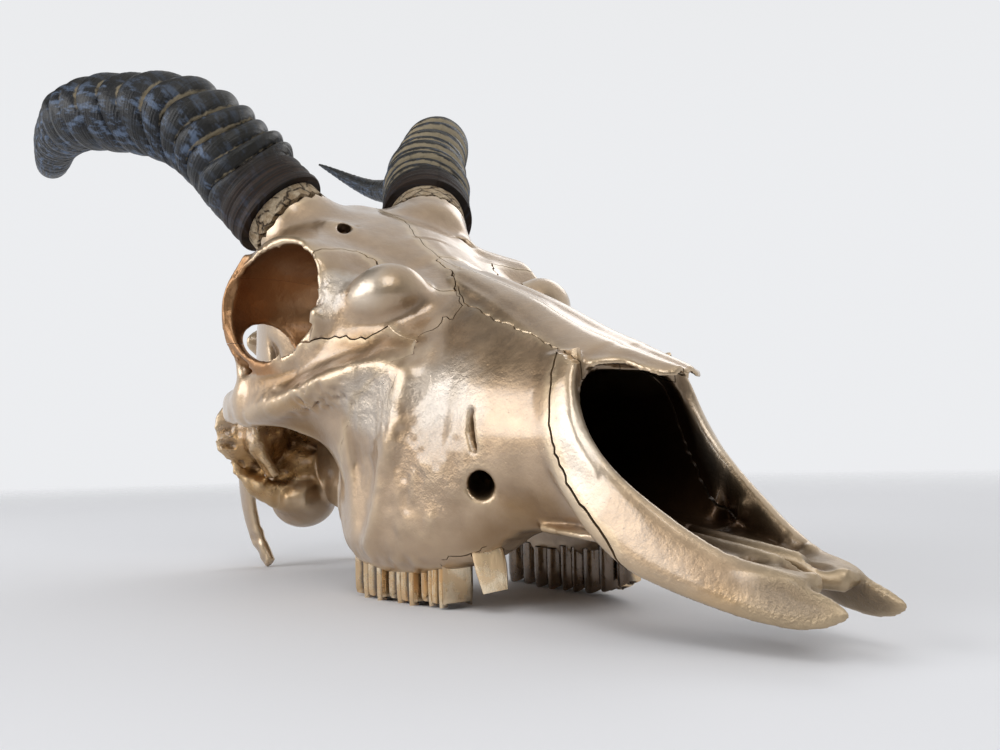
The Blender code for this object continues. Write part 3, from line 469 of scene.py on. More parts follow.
def pedicel(side_name):
    """The stump of bone that carries a horn, up to where the sheath hides it."""
    side = SIDES[side_name]
    start, along = horn_axis(side_name)
    core = 2 * CORE_RADIUS
    path = [start - along * back for back in (38, 26, 14, 0, -CORE_DEPTH)]
    return rod("pedicel", path, (8, core - 2, core + 1, core, core - 1),
               (8, core - 2, core, core - 1, core - 2),
               steps=24, around=32, squareness=2, side=side)


def premaxilla():
    """The strap that frames the nose opening, and the tilted blade at its front."""
    path = ((90, 17.5, 61), (92, 22.5, 50), (98, 24.3, 37), (109, 24.3, 24), (124, 22.2, 12.5),
            (138, 18.8, 5.8), (152, 15, 1.1), (165, 12.2, -1.6), (175.5, 10, -2.4))
    widths = (15, 16, 15.5, 15.5, 16, 17, 17, 15, 13.2, 12, 9.6, 4.6)
    depths = (3.6, 4.2, 4.6, 4.8, 5, 5.4, 5.6, 5.4, 5, 4.4, 3.6, 2)
    return rod("premaxilla", path, widths, depths, across=(0, 1, 0.42), steps=56, around=28, squareness=2.5,
               rounded=0.06)


def palate_front():
    """The floor of the nose in front of the teeth, the bar beside the midline and the web to the blade."""
    return [
        rod("shelf", ((86, 11, 12.5), (104, 12, 11.5), (122, 11, 9.5), (134, 9.5, 7.6), (144, 8, 6)),
            (3.6, 3.4, 3.2, 3, 3), (26, 26, 23, 18, 10), squareness=3),
        rod("inner_bar", ((100, 4, 13), (125, 3.8, 9.6), (146, 3.8, 6.4), (157, 4.4, 4.4),
                          (163.5, 5.6, 2.6)),
            (5, 5, 5.4, 6, 5), (5.4, 5, 5, 4.6, 3.4), squareness=2.2),
        ball("web", (154, 8.6, 3.6), (11, 6.6, 2.6), (14, 6, -12)),
    ]


def jaw_underside():
    """All that lies below the ragged lower edge of the jaw over the teeth."""
    rng = np.random.default_rng(51)
    rings = []
    for x in np.arange(-14, 80, 1.3):
        edge = SOCKET_EDGE(x) + 0.3 + rng.uniform(-0.5, 0.5)
        corners = ((16, edge), (16, -20), (70, -20), (70, edge - 1.5), (42, edge))
        rings.append([Vector((x, y, z)) for y, z in corners])
    return loft("underside", rings)


def front_pit():
    """The small hollow between the tips of the front jaw."""
    return ball("pit", (157.5, 4.6, 8.2), (5.5, 2.4, 4))


def nasal_bone():
    """A long convex splint of the nose's roof."""
    half_width = profile((20, 10), (52, 14), (77, 16), (97, 16.4), (102, 15), (105, 11.5), (114, 9.2),
                         (119, 6.4), (120.5, 4))
    thickness = profile((20, 4.2), (90, 3.8), (99, 2.4), (110, 1.9), (120.5, 1.7))
    droop = profile((20, 4.3), (92, 4.3), (100, 3.6), (105, 1.6), (114, 1.2), (120.5, 1.2))
    rings = []
    for x in np.linspace(20, 120.5, 40):
        top = DORSAL(x)
        half = half_width(x)
        over, under = [], []
        for u in np.linspace(0, 1, 12):
            y = 0.15 + (half - 0.15) * u
            hump = 1.3 * math.sin(math.pi * min(u * 1.25, 1))
            hump -= droop(x) * (half / 16) * max(u - 0.2, 0) ** 1.6 / 0.7
            over.append(Vector((x, y, top + hump)))
            under.append(Vector((x, y, top + hump - thickness(x))))
        rings.append(over + under[::-1])
    return loft("nasal", rings)


def nose_cavity():
    """The hollow of the nose, open at the front."""
    rings = []
    for x in np.linspace(12, 170, LENGTHWISE):
        low, high, wide = NOSE_FLOOR(x), NOSE_ROOF(x), NOSE_HALF(x)
        ring = []
        inner = min(max((NOSE_BACK - x) / 30, 0), 1)
        for c, s in circle(AROUND):
            y = wide * (1 - 0.38 * max(c, 0) * inner) * bent(s, 0.45 + 0.3 * inner)
            ring.append(Vector((x, y, (low + high) / 2 + (high - low) / 2 * bent(c, 0.8))))
        rings.append(ring)
    return loft("nose_cavity", rings)


def nose_opening():
    """Everything above the sloping edge of the nose opening, in side view."""
    sweep = smooth_path([(x, 0, z) for x, z in NOSE_EDGE])
    line = [sweep(t) for t in np.linspace(0, 1, 30)]
    corners = [(p.x, p.z) for p in line] + [(NOSE_EDGE[-1][0], 90), (NOSE_BACK, 90)]
    rings = [[Vector((x, y, z)) for x, z in corners] for y in (-45, 45)]
    return loft("nose_opening", rings)


def small_holes():
    """The openings for nerves over the eye and in the cheek, and the slit above the one in the cheek."""
    return [
        rod("brow_hole", ((-12, 33, 116), (-23, 28.3, 117), (-36, 22, 116)), (5.6, 5.2, 4.6),
            (5.4, 5.2, 4.6),
            squareness=2),
        rod("cheek_hole", ((78, 40, 22), (68, 31, 24.5), (59, 24, 27), (50, 16, 31)), (12, 8.5, 8, 8),
            (9, 8, 7, 7),
            squareness=2),
        ball("cheek_ramp", (77, 34.5, 21.5), (6, 3, 3.6), (0, 20, 0)),
        rod("cheek_slit", ((68, 31.5, 34), (66, 32, 40), (65, 31.5, 46)), (0.9, 1.7, 0.9), (9, 9, 8),
            squareness=2),
        *(ball("pit", place, (0.8, 0.8, 0.8), subdivisions=0) for place in
          ((-4.3, 47, 98.3), (16.4, 37.9, 85.7), (-27, 21, 118.7), (44, 34.5, 50), (20, 43.3, 57))),
    ]


def back_hole():
    return rod("back_hole", ((-140, 0, 52), (-100, 0, 54)), (17, 16), (19, 17), squareness=2)


def soft_noise(shape, step, rng):
    """Smooth random values between -1 and 1 on a grid, a new one every few cells."""
    values = rng.uniform(-1, 1, [math.ceil(n / step) + 2 for n in shape])
    for axis, n in enumerate(shape):
        at = np.arange(n) / step
        whole = at.astype(int)
        part = at - whole
        part = (part * part * (3 - 2 * part)).reshape([-1 if a == axis else 1 for a in range(3)])
        low, high = np.take(values, whole, axis), np.take(values, whole + 1, axis)
        values = low + (high - low) * part
    return values


class Bone:
    """Signed distances to the bone's surface on a grid, negative inside it.

    A shape is melted in, or cut out, with an edge that is rounded over the distance given.
    """

    REACH = 9.0
    KNOWN = REACH * 0.98

    def __init__(self, voxel):
        self.voxel = voxel
        self.low = np.floor(np.array(BONE_BOX[0]) / voxel).astype(int)
        self.low[1] = -math.ceil(BONE_BOX[1][1] / voxel)
        high = np.ceil(np.array(BONE_BOX[1]) / voxel).astype(int)
        self.values = np.full(high - self.low + 1, self.REACH, np.float32)

    def measured(self, obj, both):
        """The part of the grid near an object with the distances there, and the same mirrored."""
        points = np.array([v.co for v in obj.data.vertices])
        faces = np.array([p.vertices for p in obj.data.polygons])
        bpy.data.objects.remove(obj)
        space = openvdb.createLinearTransform(voxelSize=self.voxel)
        grid = openvdb.FloatGrid.createLevelSetFromPolygons(
            points, triangles=faces, transform=space, halfWidth=self.REACH / self.voxel)
        near = self.REACH + self.voxel
        first = np.maximum(np.floor((points.min(axis=0) - near) / self.voxel).astype(int), self.low)
        last = np.minimum(np.ceil((points.max(axis=0) + near) / self.voxel).astype(int),
                          self.low + self.values.shape)
        distances = np.empty(last - first, np.float32)
        grid.copyToArray(distances, ijk=tuple(int(i) for i in first))
        window = tuple(slice(a, b) for a, b in zip(first - self.low, last - self.low))
        yield window, distances
        if both:
            wide = self.values.shape[1]
            flipped = slice(wide - window[1].stop, wide - window[1].start)
            yield (window[0], flipped, window[2]), distances[:, ::-1]

    def rounding(self, apart, blend, *fields):
        near = np.clip(1 - np.abs(apart) / blend, 0, 1)
        for field in fields:
            near[np.abs(field) > self.KNOWN] = 0
        return near * near * blend / 4

    def add(self, parts, blend, both=True):
        for part in parts:
            for window, shape in self.measured(part, both):
                here = self.values[window]
                edge = self.rounding(here - shape, blend, here, shape)
                self.values[window] = np.maximum(np.minimum(here, shape) - edge, -self.REACH)

    def cut(self, parts, blend, both=True):
        for part in parts:
            for window, shape in self.measured(part, both):
                here = self.values[window]
                edge = self.rounding(here + shape, blend, here, shape)
                self.values[window] = np.minimum(np.maximum(here, -shape) + edge, self.REACH)

    def window(self, low, high):
        """The part of the grid between two corners, and the places of its cells along each axis."""
        first = np.maximum(np.floor(low / self.voxel).astype(int), self.low)
        last = np.minimum(np.ceil(high / self.voxel).astype(int), self.low + self.values.shape)
        cells = tuple(slice(a, b) for a, b in zip(first - self.low, last - self.low))
        axes = [np.arange(a, b) * self.voxel for a, b in zip(first, last)]
        return cells, np.meshgrid(*axes, indexing="ij", sparse=True)

    def swell(self, points, radius, height):
        """Raises the surface softly along a line on both sides, or sinks it by a negative height."""
        path = smooth_path(points)
        for side in (1, -1):
            line = np.array([path(t) for t in np.linspace(0, 1, 7 * len(points))]) * (1, side, 1)
            cells, (x, y, z) = self.window(line.min(axis=0) - 2.4 * radius, line.max(axis=0) + 2.4 * radius)
            nearest = np.inf
            for px, py, pz in line:
                nearest = np.minimum(nearest, (x - px) ** 2 + (y - py) ** 2 + (z - pz) ** 2)
            here = self.values[cells]
            here -= np.where(np.abs(here) < self.KNOWN, height * np.exp(-nearest / radius ** 2), 0)

    def roughen(self, centre, radii, height, step, seed, folded=False):
        """Makes the surface uneven inside an egg, in lumps of one size or in sharp folds."""
        centre, radii = np.array(centre, float), np.array(radii, float)
        rng = np.random.default_rng(seed)
        for side in (1, -1):
            middle = centre * (1, side, 1)
            cells, (x, y, z) = self.window(middle - radii, middle + radii)
            away = sum(((axis - c) / r) ** 2 for axis, c, r in zip((x, y, z), middle, radii))
            share = np.clip((1 - away) * 2.2, 0, 1)
            lumps = soft_noise(share.shape, step / self.voxel, rng)
            if folded:
                lumps = 1 - 3.2 * np.abs(lumps)
            here = self.values[cells]
            here -= np.where(np.abs(here) < self.KNOWN, share * height * lumps, 0)

    def mesh(self, name):
        grid = openvdb.FloatGrid(self.REACH)
        grid.copyFromArray(self.values, ijk=tuple(int(i) for i in self.low))
        grid.transform = openvdb.createLinearTransform(voxelSize=self.voxel)
        points, quads = grid.convertToQuads(isovalue=0)
        mesh = bpy.data.meshes.new(name)
        mesh.from_pydata(points.tolist(), [], quads.tolist())
        return add_object(name, mesh)


def apply_modifiers(obj):
    graph = bpy.context.evaluated_depsgraph_get()
    mesh = bpy.data.meshes.new_from_object(obj.evaluated_get(graph))
    obj.modifiers.clear()
    obj.data = mesh


# Ridges and hollows on the bone: a line, how wide it is and how far it rises
RELIEF = (
    (((39, 38, 58), (36.2, 41.8, 41), (30.7, 42.6, 27.3), (25.2, 43.3, 13.3), (20, 42, 5)), 4, 2.0),
    (((24, 44, 54), (21, 43.5, 40), (18, 42.5, 28), (15.3, 42, 14)), 6, -2.4),
    (((50, 37, 50), (46, 40, 38), (42, 41, 28)), 6, -1.0),
    (((-37.5, 58.8, 48), (-14.3, 55.4, 53), (5.5, 51, 58), (18, 46, 60.5)), 3, 1.5),
    (((18, 46, 60.5), (28, 42, 61.5), (36, 38, 59)), 3, 0.9),
    (((-12, 53.3, 63.6), (0, 49, 67.6), (18, 42.5, 69)), 5, -1.2),
    (((14, 36.5, 86), (18, 34.5, 86)), 8, 2.6),
    (((4, 47.3, 73.3), (14, 41.5, 76), (26.6, 28, 80)), 5, -1.6),
    (((-10, 54, 72), (-3, 51.5, 75), (1, 48.5, 79)), 2.6, 0.9),
    (((-3, 33, 101), (6, 29, 97), (15, 26.5, 91.5)), 4.5, -1.0),
    (((-17, 28, 111.6), (-10, 22, 108), (4, 15, 100)), 5, -0.9),
    (((38.7, 22.2, 75.6), (46.8, 29.3, 65), (52.4, 34.7, 52.4), (53.4, 36.9, 43.4)), 7, -1.5),
    (((-26, 27, 119.5), (-31, 30, 119.5)), 4, 1.6),
    (((-19, 28, 113.5), (-14, 27, 111)), 3.5, -0.8),
    (((60, 34, 24), (62, 30, 31)), 3.5, 1.0),
    (((74, 29, 22), (84, 27.5, 19)), 4, -1.2),
)
# The torn joint of the lower jaw: a hollow behind its outer lip, hanging folds and a dark pit
TORN_JOINT = (
    (((-80, 47, 48), (-80, 46, 38), (-79, 43, 30)), 4.5, -4.5),
    (((-73, 44, 47), (-72, 41, 38), (-72, 36, 27)), 1.7, 1.8),
    (((-69, 42, 46), (-68, 39, 38), (-69, 34, 27)), 1.3, -1.6),
    (((-66, 41, 46), (-65, 37, 38), (-66, 32, 28)), 1.7, 1.6),
    (((-76, 45, 46), (-75, 42, 38), (-75, 37, 28)), 1.2, -1.4),
    (((-70, 42, 50), (-66, 41, 50)), 2.2, -2.6),
)
# The fold inside the strap of the nose opening
NOSE_FOLD = (((121, 18.5, 18), (118, 18.5, 14), (117, 18, 10)), 2, 1.6)
# Grooves where the chewing muscle held on
SCAR_GROOVES = ((18, 12, 0.55), (22, 19, 0.7), (26, 25, 0.6), (30, 30, 0.7), (33.5, 34, 0.45))
# Uneven places: middle, half sizes, height, size of the lumps, random seed, and whether they are folds
UNEVEN = (
    ((-82, 42, 38), (17, 15, 17), 0.6, 4.6, 31, True),
    ((-82, 42, 38), (16, 14, 16), 0.6, 2.2, 32, False),
    ((-76, 33, 20), (14, 15, 8), 0.7, 2.6, 33, False),
    ((-112, 24, -4), (12, 8, 12), 0.6, 3, 34, False),
    ((-8, 53, 52), (34, 10, 7), 0.45, 2.4, 35, False),
    ((24, 36, 0), (30, 12, 5), 0.6, 3, 36, False),
    ((2, 44, 87), (11, 10, 12), 0.4, 2.0, 38, False),
    ((24, 42, 50), (20, 14, 14), 0.35, 3.2, 39, False),
    ((4, 49, 54), (30, 9, 6), 0.5, 2.4, 43, True),
    ((40, 38, 28), (36, 16, 26), 0.4, 3.2, 44, False),
    ((40, 40, 28), (34, 16, 26), 0.45, 8, 40, False),
    ((-20, 0, 112), (90, 60, 40), 0.3, 11, 41, False),
    ((60, 0, 60), (80, 50, 60), 0.3, 12, 42, False),
)
# Thin cracks in the jaws: a line in plan or in side view, the direction it is pressed in, and its width
CRACKS = (
    (((28, 12.9), (36.3, 15.8), (37.4, 20.2), (33.6, 21.6), (35.3, 24.6), (34, 28), (33.6, 31)), (0, 0, -1),
     0.55),
    (((50.6, 2.2), (55, 3.4), (61.2, 4.8), (65, 6.6)), (0, -1, 0), 0.5),
    (((37, 58), (34.5, 52), (34, 46)), (0, -1, 0), 0.3),
)


def model_surface(bone):
    """Ridges, hollows, scars and torn edges, pressed into the bone's surface."""
    for line, radius, height in RELIEF:
        bone.swell(line, radius, height)
    for top, foot, height in SCAR_GROOVES:
        line = ((top, 47 - 0.22 * (top - 16), 59), ((top + foot) / 2, 44, 50), (foot, 43, 41))
        bone.swell(line, 1.1, -height)
        bone.swell([(x + 1.7, y, z) for x, y, z in line], 1.1, height * 0.6)
    for line, radius, height in TORN_JOINT:
        bone.swell(line, radius, height)
    for place in UNEVEN:
        bone.roughen(*place)


def fused_bone(voxel):
    """The skull's bone as one body, with its openings cut."""
    bone = Bone(voxel)
    bone.add([face_block()], 3, both=False)
    bone.cut([nose_cavity()], 1.5, both=False)
    bone.cut([nose_opening()], 1, both=False)
    bone.add([brain_case()], 6, both=False)
    bone.add([frontal_roof()], 7, both=False)
    bone.add(middle_base(), 5, both=False)
    bone.add(orbit_walls(), 5)
    bone.add(face_relief(), 7)
    bone.cut(face_hollows(), 7)
    bone.add(skull_base(), 4)
    bone.add([pedicel(side_name) for side_name in SIDES], 9, both=False)
    bone.cut(orbit_hollows(), 1.5)
    bone.add([orbit_rim()], 1.2)
    bone.add(rim_crust(), 0.8)
    model_surface(bone)
    bone.cut([jaw_underside()], 0.8)
    bone.cut(small_holes(), 1)
    bone.cut([back_hole()], 2, both=False)
    bone.add([premaxilla()], 1.5)
    bone.add(palate_front(), 2.5)
    bone.add([nasal_bone()], 1.5)
    bone.cut([front_pit()], 0.8)
    bone.roughen((141, 13.5, 8), (9, 4, 4), 0.8, 2.0, 45)
    bone.swell(*NOSE_FOLD)
    return bone.mesh("bone")


def outline_body(name, outline, low, high, plane, side=1, slant=0.0):
    """A closed body swept from a flat outline in the side view ("xz") or the plan ("xy")."""
    rings = []
    for depth in (low, high):
        if plane == "xz":
            rings.append([Vector((u, depth * side, v)) for u, v in outline])
        else:
            rings.append([Vector((u + slant * (depth - SLANT_LEVEL), v * side, depth))
                          for u, v in outline])
    return loft(name, rings)


def grown(outline, by):
    """The outline moved outwards by a distance, with its corners kept sharp."""
    area = sum(a[0] * b[1] - b[0] * a[1] for a, b in zip(outline, outline[1:] + outline[:1]))
    turn = 1 if area > 0 else -1
    moved = []
    for before, here, after in zip(outline[-1:] + outline[:-1], outline, outline[1:] + outline[:1]):
        a = (Vector(here) - Vector(before)).normalized()
        b = (Vector(after) - Vector(here)).normalized()
        normal = Vector((a.y + b.y, -a.x - b.x)) * turn
        normal = normal.normalized() if normal.length > 1e-6 else Vector((a.y, -a.x)) * turn
        reach = by / max(normal.dot(Vector((a.y, -a.x)) * turn), 0.4)
        moved.append(tuple(Vector(here) + normal * reach))
    return moved


def ragged(line, pitch, reach, seed):
    """The line with small uneven teeth, as bones meet along a suture, but for its long straight runs."""
    rng = np.random.default_rng(seed)
    points = [tuple(line[0])]
    for a, b in zip(line, line[1:]):
        a, b = Vector(a), Vector(b)
        length = (b - a).length
        count = 1 if length > LONG_RUN else max(1, round(length / pitch))
        across = Vector((a.y - b.y, b.x - a.x)).normalized()
        for i in range(1, count + 1):
            p = a.lerp(b, i / count)
            if i < count:
                p += across * rng.uniform(-reach, reach)
            points.append(tuple(p))
    return points


def boolean(obj, other, operation):
    modifier = obj.modifiers.new(operation, "BOOLEAN")
    modifier.operation = operation
    modifier.object = other
    modifier.solver = "MANIFOLD"
    apply_modifiers(obj)
    bpy.data.objects.remove(other)


def keep_largest(obj):
    """Removes all but the largest closed surface."""
    bm = bmesh.new()
    bm.from_mesh(obj.data)
    seen, shells = set(), []
    for face in bm.faces:
        if face in seen:
            continue
        shell, edge = [], [face]
        seen.add(face)
        while edge:
            here = edge.pop()
            shell.append(here)
            for side in here.edges:
                for next_face in side.link_faces:
                    if next_face not in seen:
                        seen.add(next_face)
                        edge.append(next_face)
        shells.append(shell)
    shells.sort(key=lambda shell: sum(f.calc_area() for f in shell))
    for shell in shells[:-1]:
        bmesh.ops.delete(bm, geom=shell, context="FACES")
    bm.to_mesh(obj.data)
    bm.free()


def take(bone, name, region, gap=GAP):
    """Parts a node from the bone: what lies in the region becomes the node, with a thin gap around it."""
    node = add_object(name, bone.data.copy())
    boolean(node, region(-gap / 2), "INTERSECT")
    boolean(bone, region(gap / 2), "DIFFERENCE")
    keep_largest(node)
    return node


def nasal_region(side):
    middle = [(x, MIDDLE_SUTURE(x)) for x in np.linspace(2, NASAL_FRONT, 40)]
    edge = [(x, y * side) for x, y in ragged(NASAL_SUTURE, 1.8, 0.45, 3 + side)]
    line = middle + [(NASAL_FRONT, 19 * side)] + edge[:0:-1]

    def region(grow):
        rings = []
        for x in np.linspace(-6 - grow, NASAL_FRONT, 30):
            low = DORSAL(x) - NASAL_DEPTH - grow
            rings.append([Vector((x, y, z)) for y, z in ((-26, low), (26, low), (26, 200), (-26, 200))])
        slab = loft("slab", rings)
        boolean(slab, outline_body("plan", grown(line, grow), -40, 220, "xy"), "INTERSECT")
        return slab

    return region


def premaxilla_region(side):
    line = [(210, 57), (210, -40)] + ragged(PREMAXILLA_SUTURE, 1.8, 0.5, 7)
    return lambda grow: outline_body("front", grown(line, grow * CRACK_WIDENING), -grow, 60, "xz", side)


def zygomatic_region(side):
    line = ragged(ZYGOMATIC_OUTLINE, 2.2, 0.6, 11)

    def region(grow):
        open_line, closed_line = grown(line, grow * CHEEK_WIDENING), grown(line, grow * CLOSED_SHARE)
        rings = []
        for share in (0, 1):
            ring = []
            for (_, level), wide, narrow in zip(line, open_line, closed_line):
                x, z = wide if level > 66 and wide[0] > -40 else narrow
                y = ZYGOMATIC_DEPTH(x) - grow * CLOSED_SHARE if share == 0 else 90
                ring.append(Vector((x, y * side, z)))
            rings.append(ring)
        return loft("cheek", rings)

    return region


def face_region(grow):
    half = ragged(FACE_SUTURE, 1.8, 0.6, 5)
    line = [(240, 90)] + half[::-1] + [(x, -y) for x, y in half[1:]] + [(240, -90)]
    return outline_body("face_front", grown(line, grow * FACE_WIDENING), -60, 230, "xy", slant=FACE_SLANT)


def left_half(grow):
    line = [(-400, -grow), (400, -grow), (400, 90), (-400, 90)]
    return outline_body("half", line, -60, 260, "xy")


def frontal_region(side):
    """The forehead: its left half up to the wandering middle suture, then all that is left of it."""
    middle = ragged([(x, MIDDLE_SUTURE(x)) for x in np.linspace(-90, 40, 30)], 2, 0.7, 9)
    line = middle + [(40, 80), (-90, 80)] if side == 1 else [(-90, -80), (40, -80), (40, 80), (-90, 80)]

    def region(grow):
        rings = []
        for x, z in FRONTAL_FLOOR:
            low = z - grow * CLOSED_SHARE
            rings.append([Vector((x, y, h)) for y, h in ((-80, low), (80, low), (80, 240), (-80, 240))])
        slab = loft("forehead", rings)
        boolean(slab, outline_body("plan", grown(line, grow), -60, 260, "xy"), "INTERSECT")
        return slab

    return region


def drum_region(side_name, start, end, jagged=0.0):
    """A stretch of a horn's axis with all that lies round it. A jagged lower end has a wider gap."""
    side = SIDES[side_name]
    foot, along = horn_axis(side_name)
    across = along.orthogonal().normalized()
    rng = np.random.default_rng(17 + side)
    teeth = jagged * rng.uniform(-1, 1, 56)

    def region(grow):
        rings = []
        lowest = start - grow * (CRUST_WIDENING if jagged else 1)
        for at, uneven in ((lowest, teeth), (end + grow, 0 * teeth)):
            ring = []
            for angle, offset in zip(np.linspace(0, 2 * math.pi, len(teeth), endpoint=False), uneven):
                out = Matrix.Rotation(angle, 3, along) @ across
                p = foot + along * (at + offset) + out * (CORE_CUT + grow)
                ring.append(Vector((p.x, p.y * side, p.z)))
            rings.append(ring)
        return loft("drum", rings)

    return region


def box_region(side, low, high):
    outline = [(low[0], low[2]), (high[0], low[2]), (high[0], high[2]), (low[0], high[2])]
    return lambda grow: outline_body("box", grown(outline, grow), low[1] - grow, high[1] + grow, "xz", side)


def part_bone(bone):
    """Divides the bone along its sutures into named nodes."""
    for side_name, side in SIDES.items():
        take(bone, f"nasal_{side_name}", nasal_region(side))
        take(bone, f"premaxilla_{side_name}", premaxilla_region(side))
        take(bone, f"zygomatic_{side_name}", zygomatic_region(side))
        take(bone, f"horn_core_{side_name}", drum_region(side_name, -CORE_BANDS[side_name], -GAP, 1.3))
        boolean(bone, drum_region(side_name, 0, 20)(GAP), "DIFFERENCE")
    face = take(bone, "face", face_region)
    jaws = {"left": take(face, "maxilla_left", left_half), "right": face}
    face.name = "maxilla_right"
    keep_largest(face)
    for side_name, side in SIDES.items():
        ear = box_region(side, (-100, 7, -20), (-60, 34, 24))
        process = box_region(side, (-140, 15, -40), (-97, 50, 33))
        take(bone, f"bulla_{side_name}", ear, GAP * CLOSED_SHARE)
        take(bone, f"paroccipital_{side_name}", process, GAP * CLOSED_SHARE)
        take(bone, f"frontal_{side_name}", frontal_region(side))
    bone.name = "braincase"
    keep_largest(bone)
    return jaws


def tooth(name, back, front, across, low, side, grow=0.0):
    """A tall cheek tooth: sharp ribs outside, lobes inside, cusps and a hollow at its biting end."""
    length = front - back - 0.4
    middle = (front + back) / 2
    lobes = 1 if length < 9 else 2
    outline = []
    count = 26 * lobes
    for i in range(count + 1):
        u = i / count
        edge_rib = max(math.exp(-((u - k / lobes) / (0.075 / lobes)) ** 2) for k in range(lobes + 1))
        middle_rib = max(math.exp(-((u - (k + 0.5) / lobes) / (0.08 / lobes)) ** 2) for k in range(lobes))
        outline.append((middle + length * (u - 0.5), across / 2 - 2.5 + 2.5 * edge_rib + 1.9 * middle_rib,
                        u, max(edge_rib, middle_rib)))
    # The inner side: the last value sets its share of painted shade, more on the left teeth than on the
    # right
    for i in range(count + 1):
        u = 1 - i / count
        bulge = abs(math.sin(math.pi * lobes * u)) ** 0.6
        outline.append((middle + length * (u - 0.5) * 0.94, -across / 2 + 2.4 - 2.4 * bulge, u,
                        0.3 - 0.2 * side))
    centre = SOCKET_HALF(middle) - 1.4 - across / 2
    high = SOCKET_EDGE(middle) + SOCKET_DEPTH + grow
    if grow:
        flat = [(x, y + centre) for x, y, _, _ in outline]
        return outline_body(name, grown(flat, grow), low, high, "xy", side)
    rings, notes = [], []
    levels = ((1, high), (1, 0.55 * low), (0.985, 0.2 * high + 0.8 * low), (0.95, low),
              (0.72, low + 1.4), (0.4, low + 2.2))
    for share, level in levels:
        ring = []
        for x, y, u, rib in outline:
            cusp = 1.6 * abs(math.sin(math.pi * lobes * u)) ** 0.7
            z = level + (1.6 - cusp if share in (0.95, 0.72) else 0)
            ring.append(Vector((middle + (x - middle) * share, (centre + y * share) * side, z)))
            # Each point's share of painted shade: full on the biting end, least on the ribs
            notes.append((*ring[-1], 1 if share < 0.9 else 1 - rib))
        rings.append(ring)
    obj = loft(name, rings)
    note_points(obj, notes, ("groove_shade",))
    return obj


def broken_tooth(grow=0.0):
    x, y, z = BROKEN_TOOTH
    path = ((x - 1.5, y, z + 6 + grow), (x + 0.5, y - 0.5, z), (x + 2.5, y - 1, z - 8.5))
    widths = [w + 2 * grow for w in (9, 9.5, 7.5)]
    depths = [w + 2 * grow for w in (2.6, 2.4, 1.8)]
    return rod("premolar_2_right", path, widths, depths,
               across=(0.62, 0.78, 0), steps=6, around=16, squareness=5, side=-1)


def teeth(bones):
    """The cheek teeth, each in a socket that is cut in the jaw with a thin gap round the tooth."""
    for side_name, side in SIDES.items():
        jaw = bones[side_name]
        for name, (back, front, across, low) in TEETH.items():
            if side_name == "left" or name in RIGHT_TEETH:
                boolean(jaw, tooth("socket", back, front, across, low - 20, side, GAP), "DIFFERENCE")
                tooth(f"{name}_{side_name}", back, front, across, low, side)
    boolean(bones["right"], broken_tooth(GAP), "DIFFERENCE")
    broken_tooth()


def stand(obj):
    """Moves a finished shape from the skull's millimetres to the model's metres."""
    x, y = FOOTPRINT_MIDDLE
    obj.data.transform(Matrix.Scale(MM, 4) @ Matrix.Translation((-x, -y, TOOTH_DROP)))


def crack(obj, line, facing, width, seed):
    """Cuts a thin ragged crack along a line that is dropped onto the surface in one direction."""
    tree = BVHTree.FromObject(obj, bpy.context.evaluated_depsgraph_get())
    facing = Vector(facing).normalized()
    flat = [0, 1] if abs(facing.z) > 0.5 else [0, 2]
    landed = []
    for u, v in ragged(line, 1.6, 0.5, seed):
        start = Vector((0, 0, 0)) - facing * 250
        start[flat[0]] = u
        start[flat[1]] = v
        place, normal, _, _ = tree.ray_cast(start, facing)
        if place is not None:
            landed.append((place, normal))
    rings = []
    for i, (place, normal) in enumerate(landed if len(landed) > 2 else ()):
        ahead = landed[min(i + 1, len(landed) - 1)][0] - landed[max(i - 1, 0)][0]
        across = ahead.cross(normal).normalized()
        taper = 0.25 + 0.75 * math.sin(math.pi * min(max(i / (len(landed) - 1), 0.02), 0.98)) ** 0.5
        top, foot = place + normal * 0.8, place - normal * CRACK_DEPTH * taper
        half = width * taper / 2
        rings.append([top + across * half, top - across * half, foot - across * 0.08, foot + across * 0.08])
    if len(rings) > 2:
        boolean(obj, loft("crack", rings), "DIFFERENCE")


def fine_bone():
    """The bone melted together on the fine grid, with the grid's steps smoothed away."""
    bone = fused_bone(BONE_VOXEL * (1))
    smooth = bone.modifiers.new("smooth", "SMOOTH")
    smooth.factor = 0.5
    smooth.iterations = 4
    apply_modifiers(bone)
    return bone


def read_rows(collection, field, width, kind=np.float32):
    """The values of one field of a mesh's points or edges, a row for each."""
    values = np.empty(len(collection) * width, kind)
    collection.foreach_get(field, values)
    return values.reshape(-1, width)


def add_note(mesh, name, values):
    attribute = mesh.attributes.new(name, "FLOAT", "POINT")
    attribute.data.foreach_set("value", np.ascontiguousarray(values, np.float32))


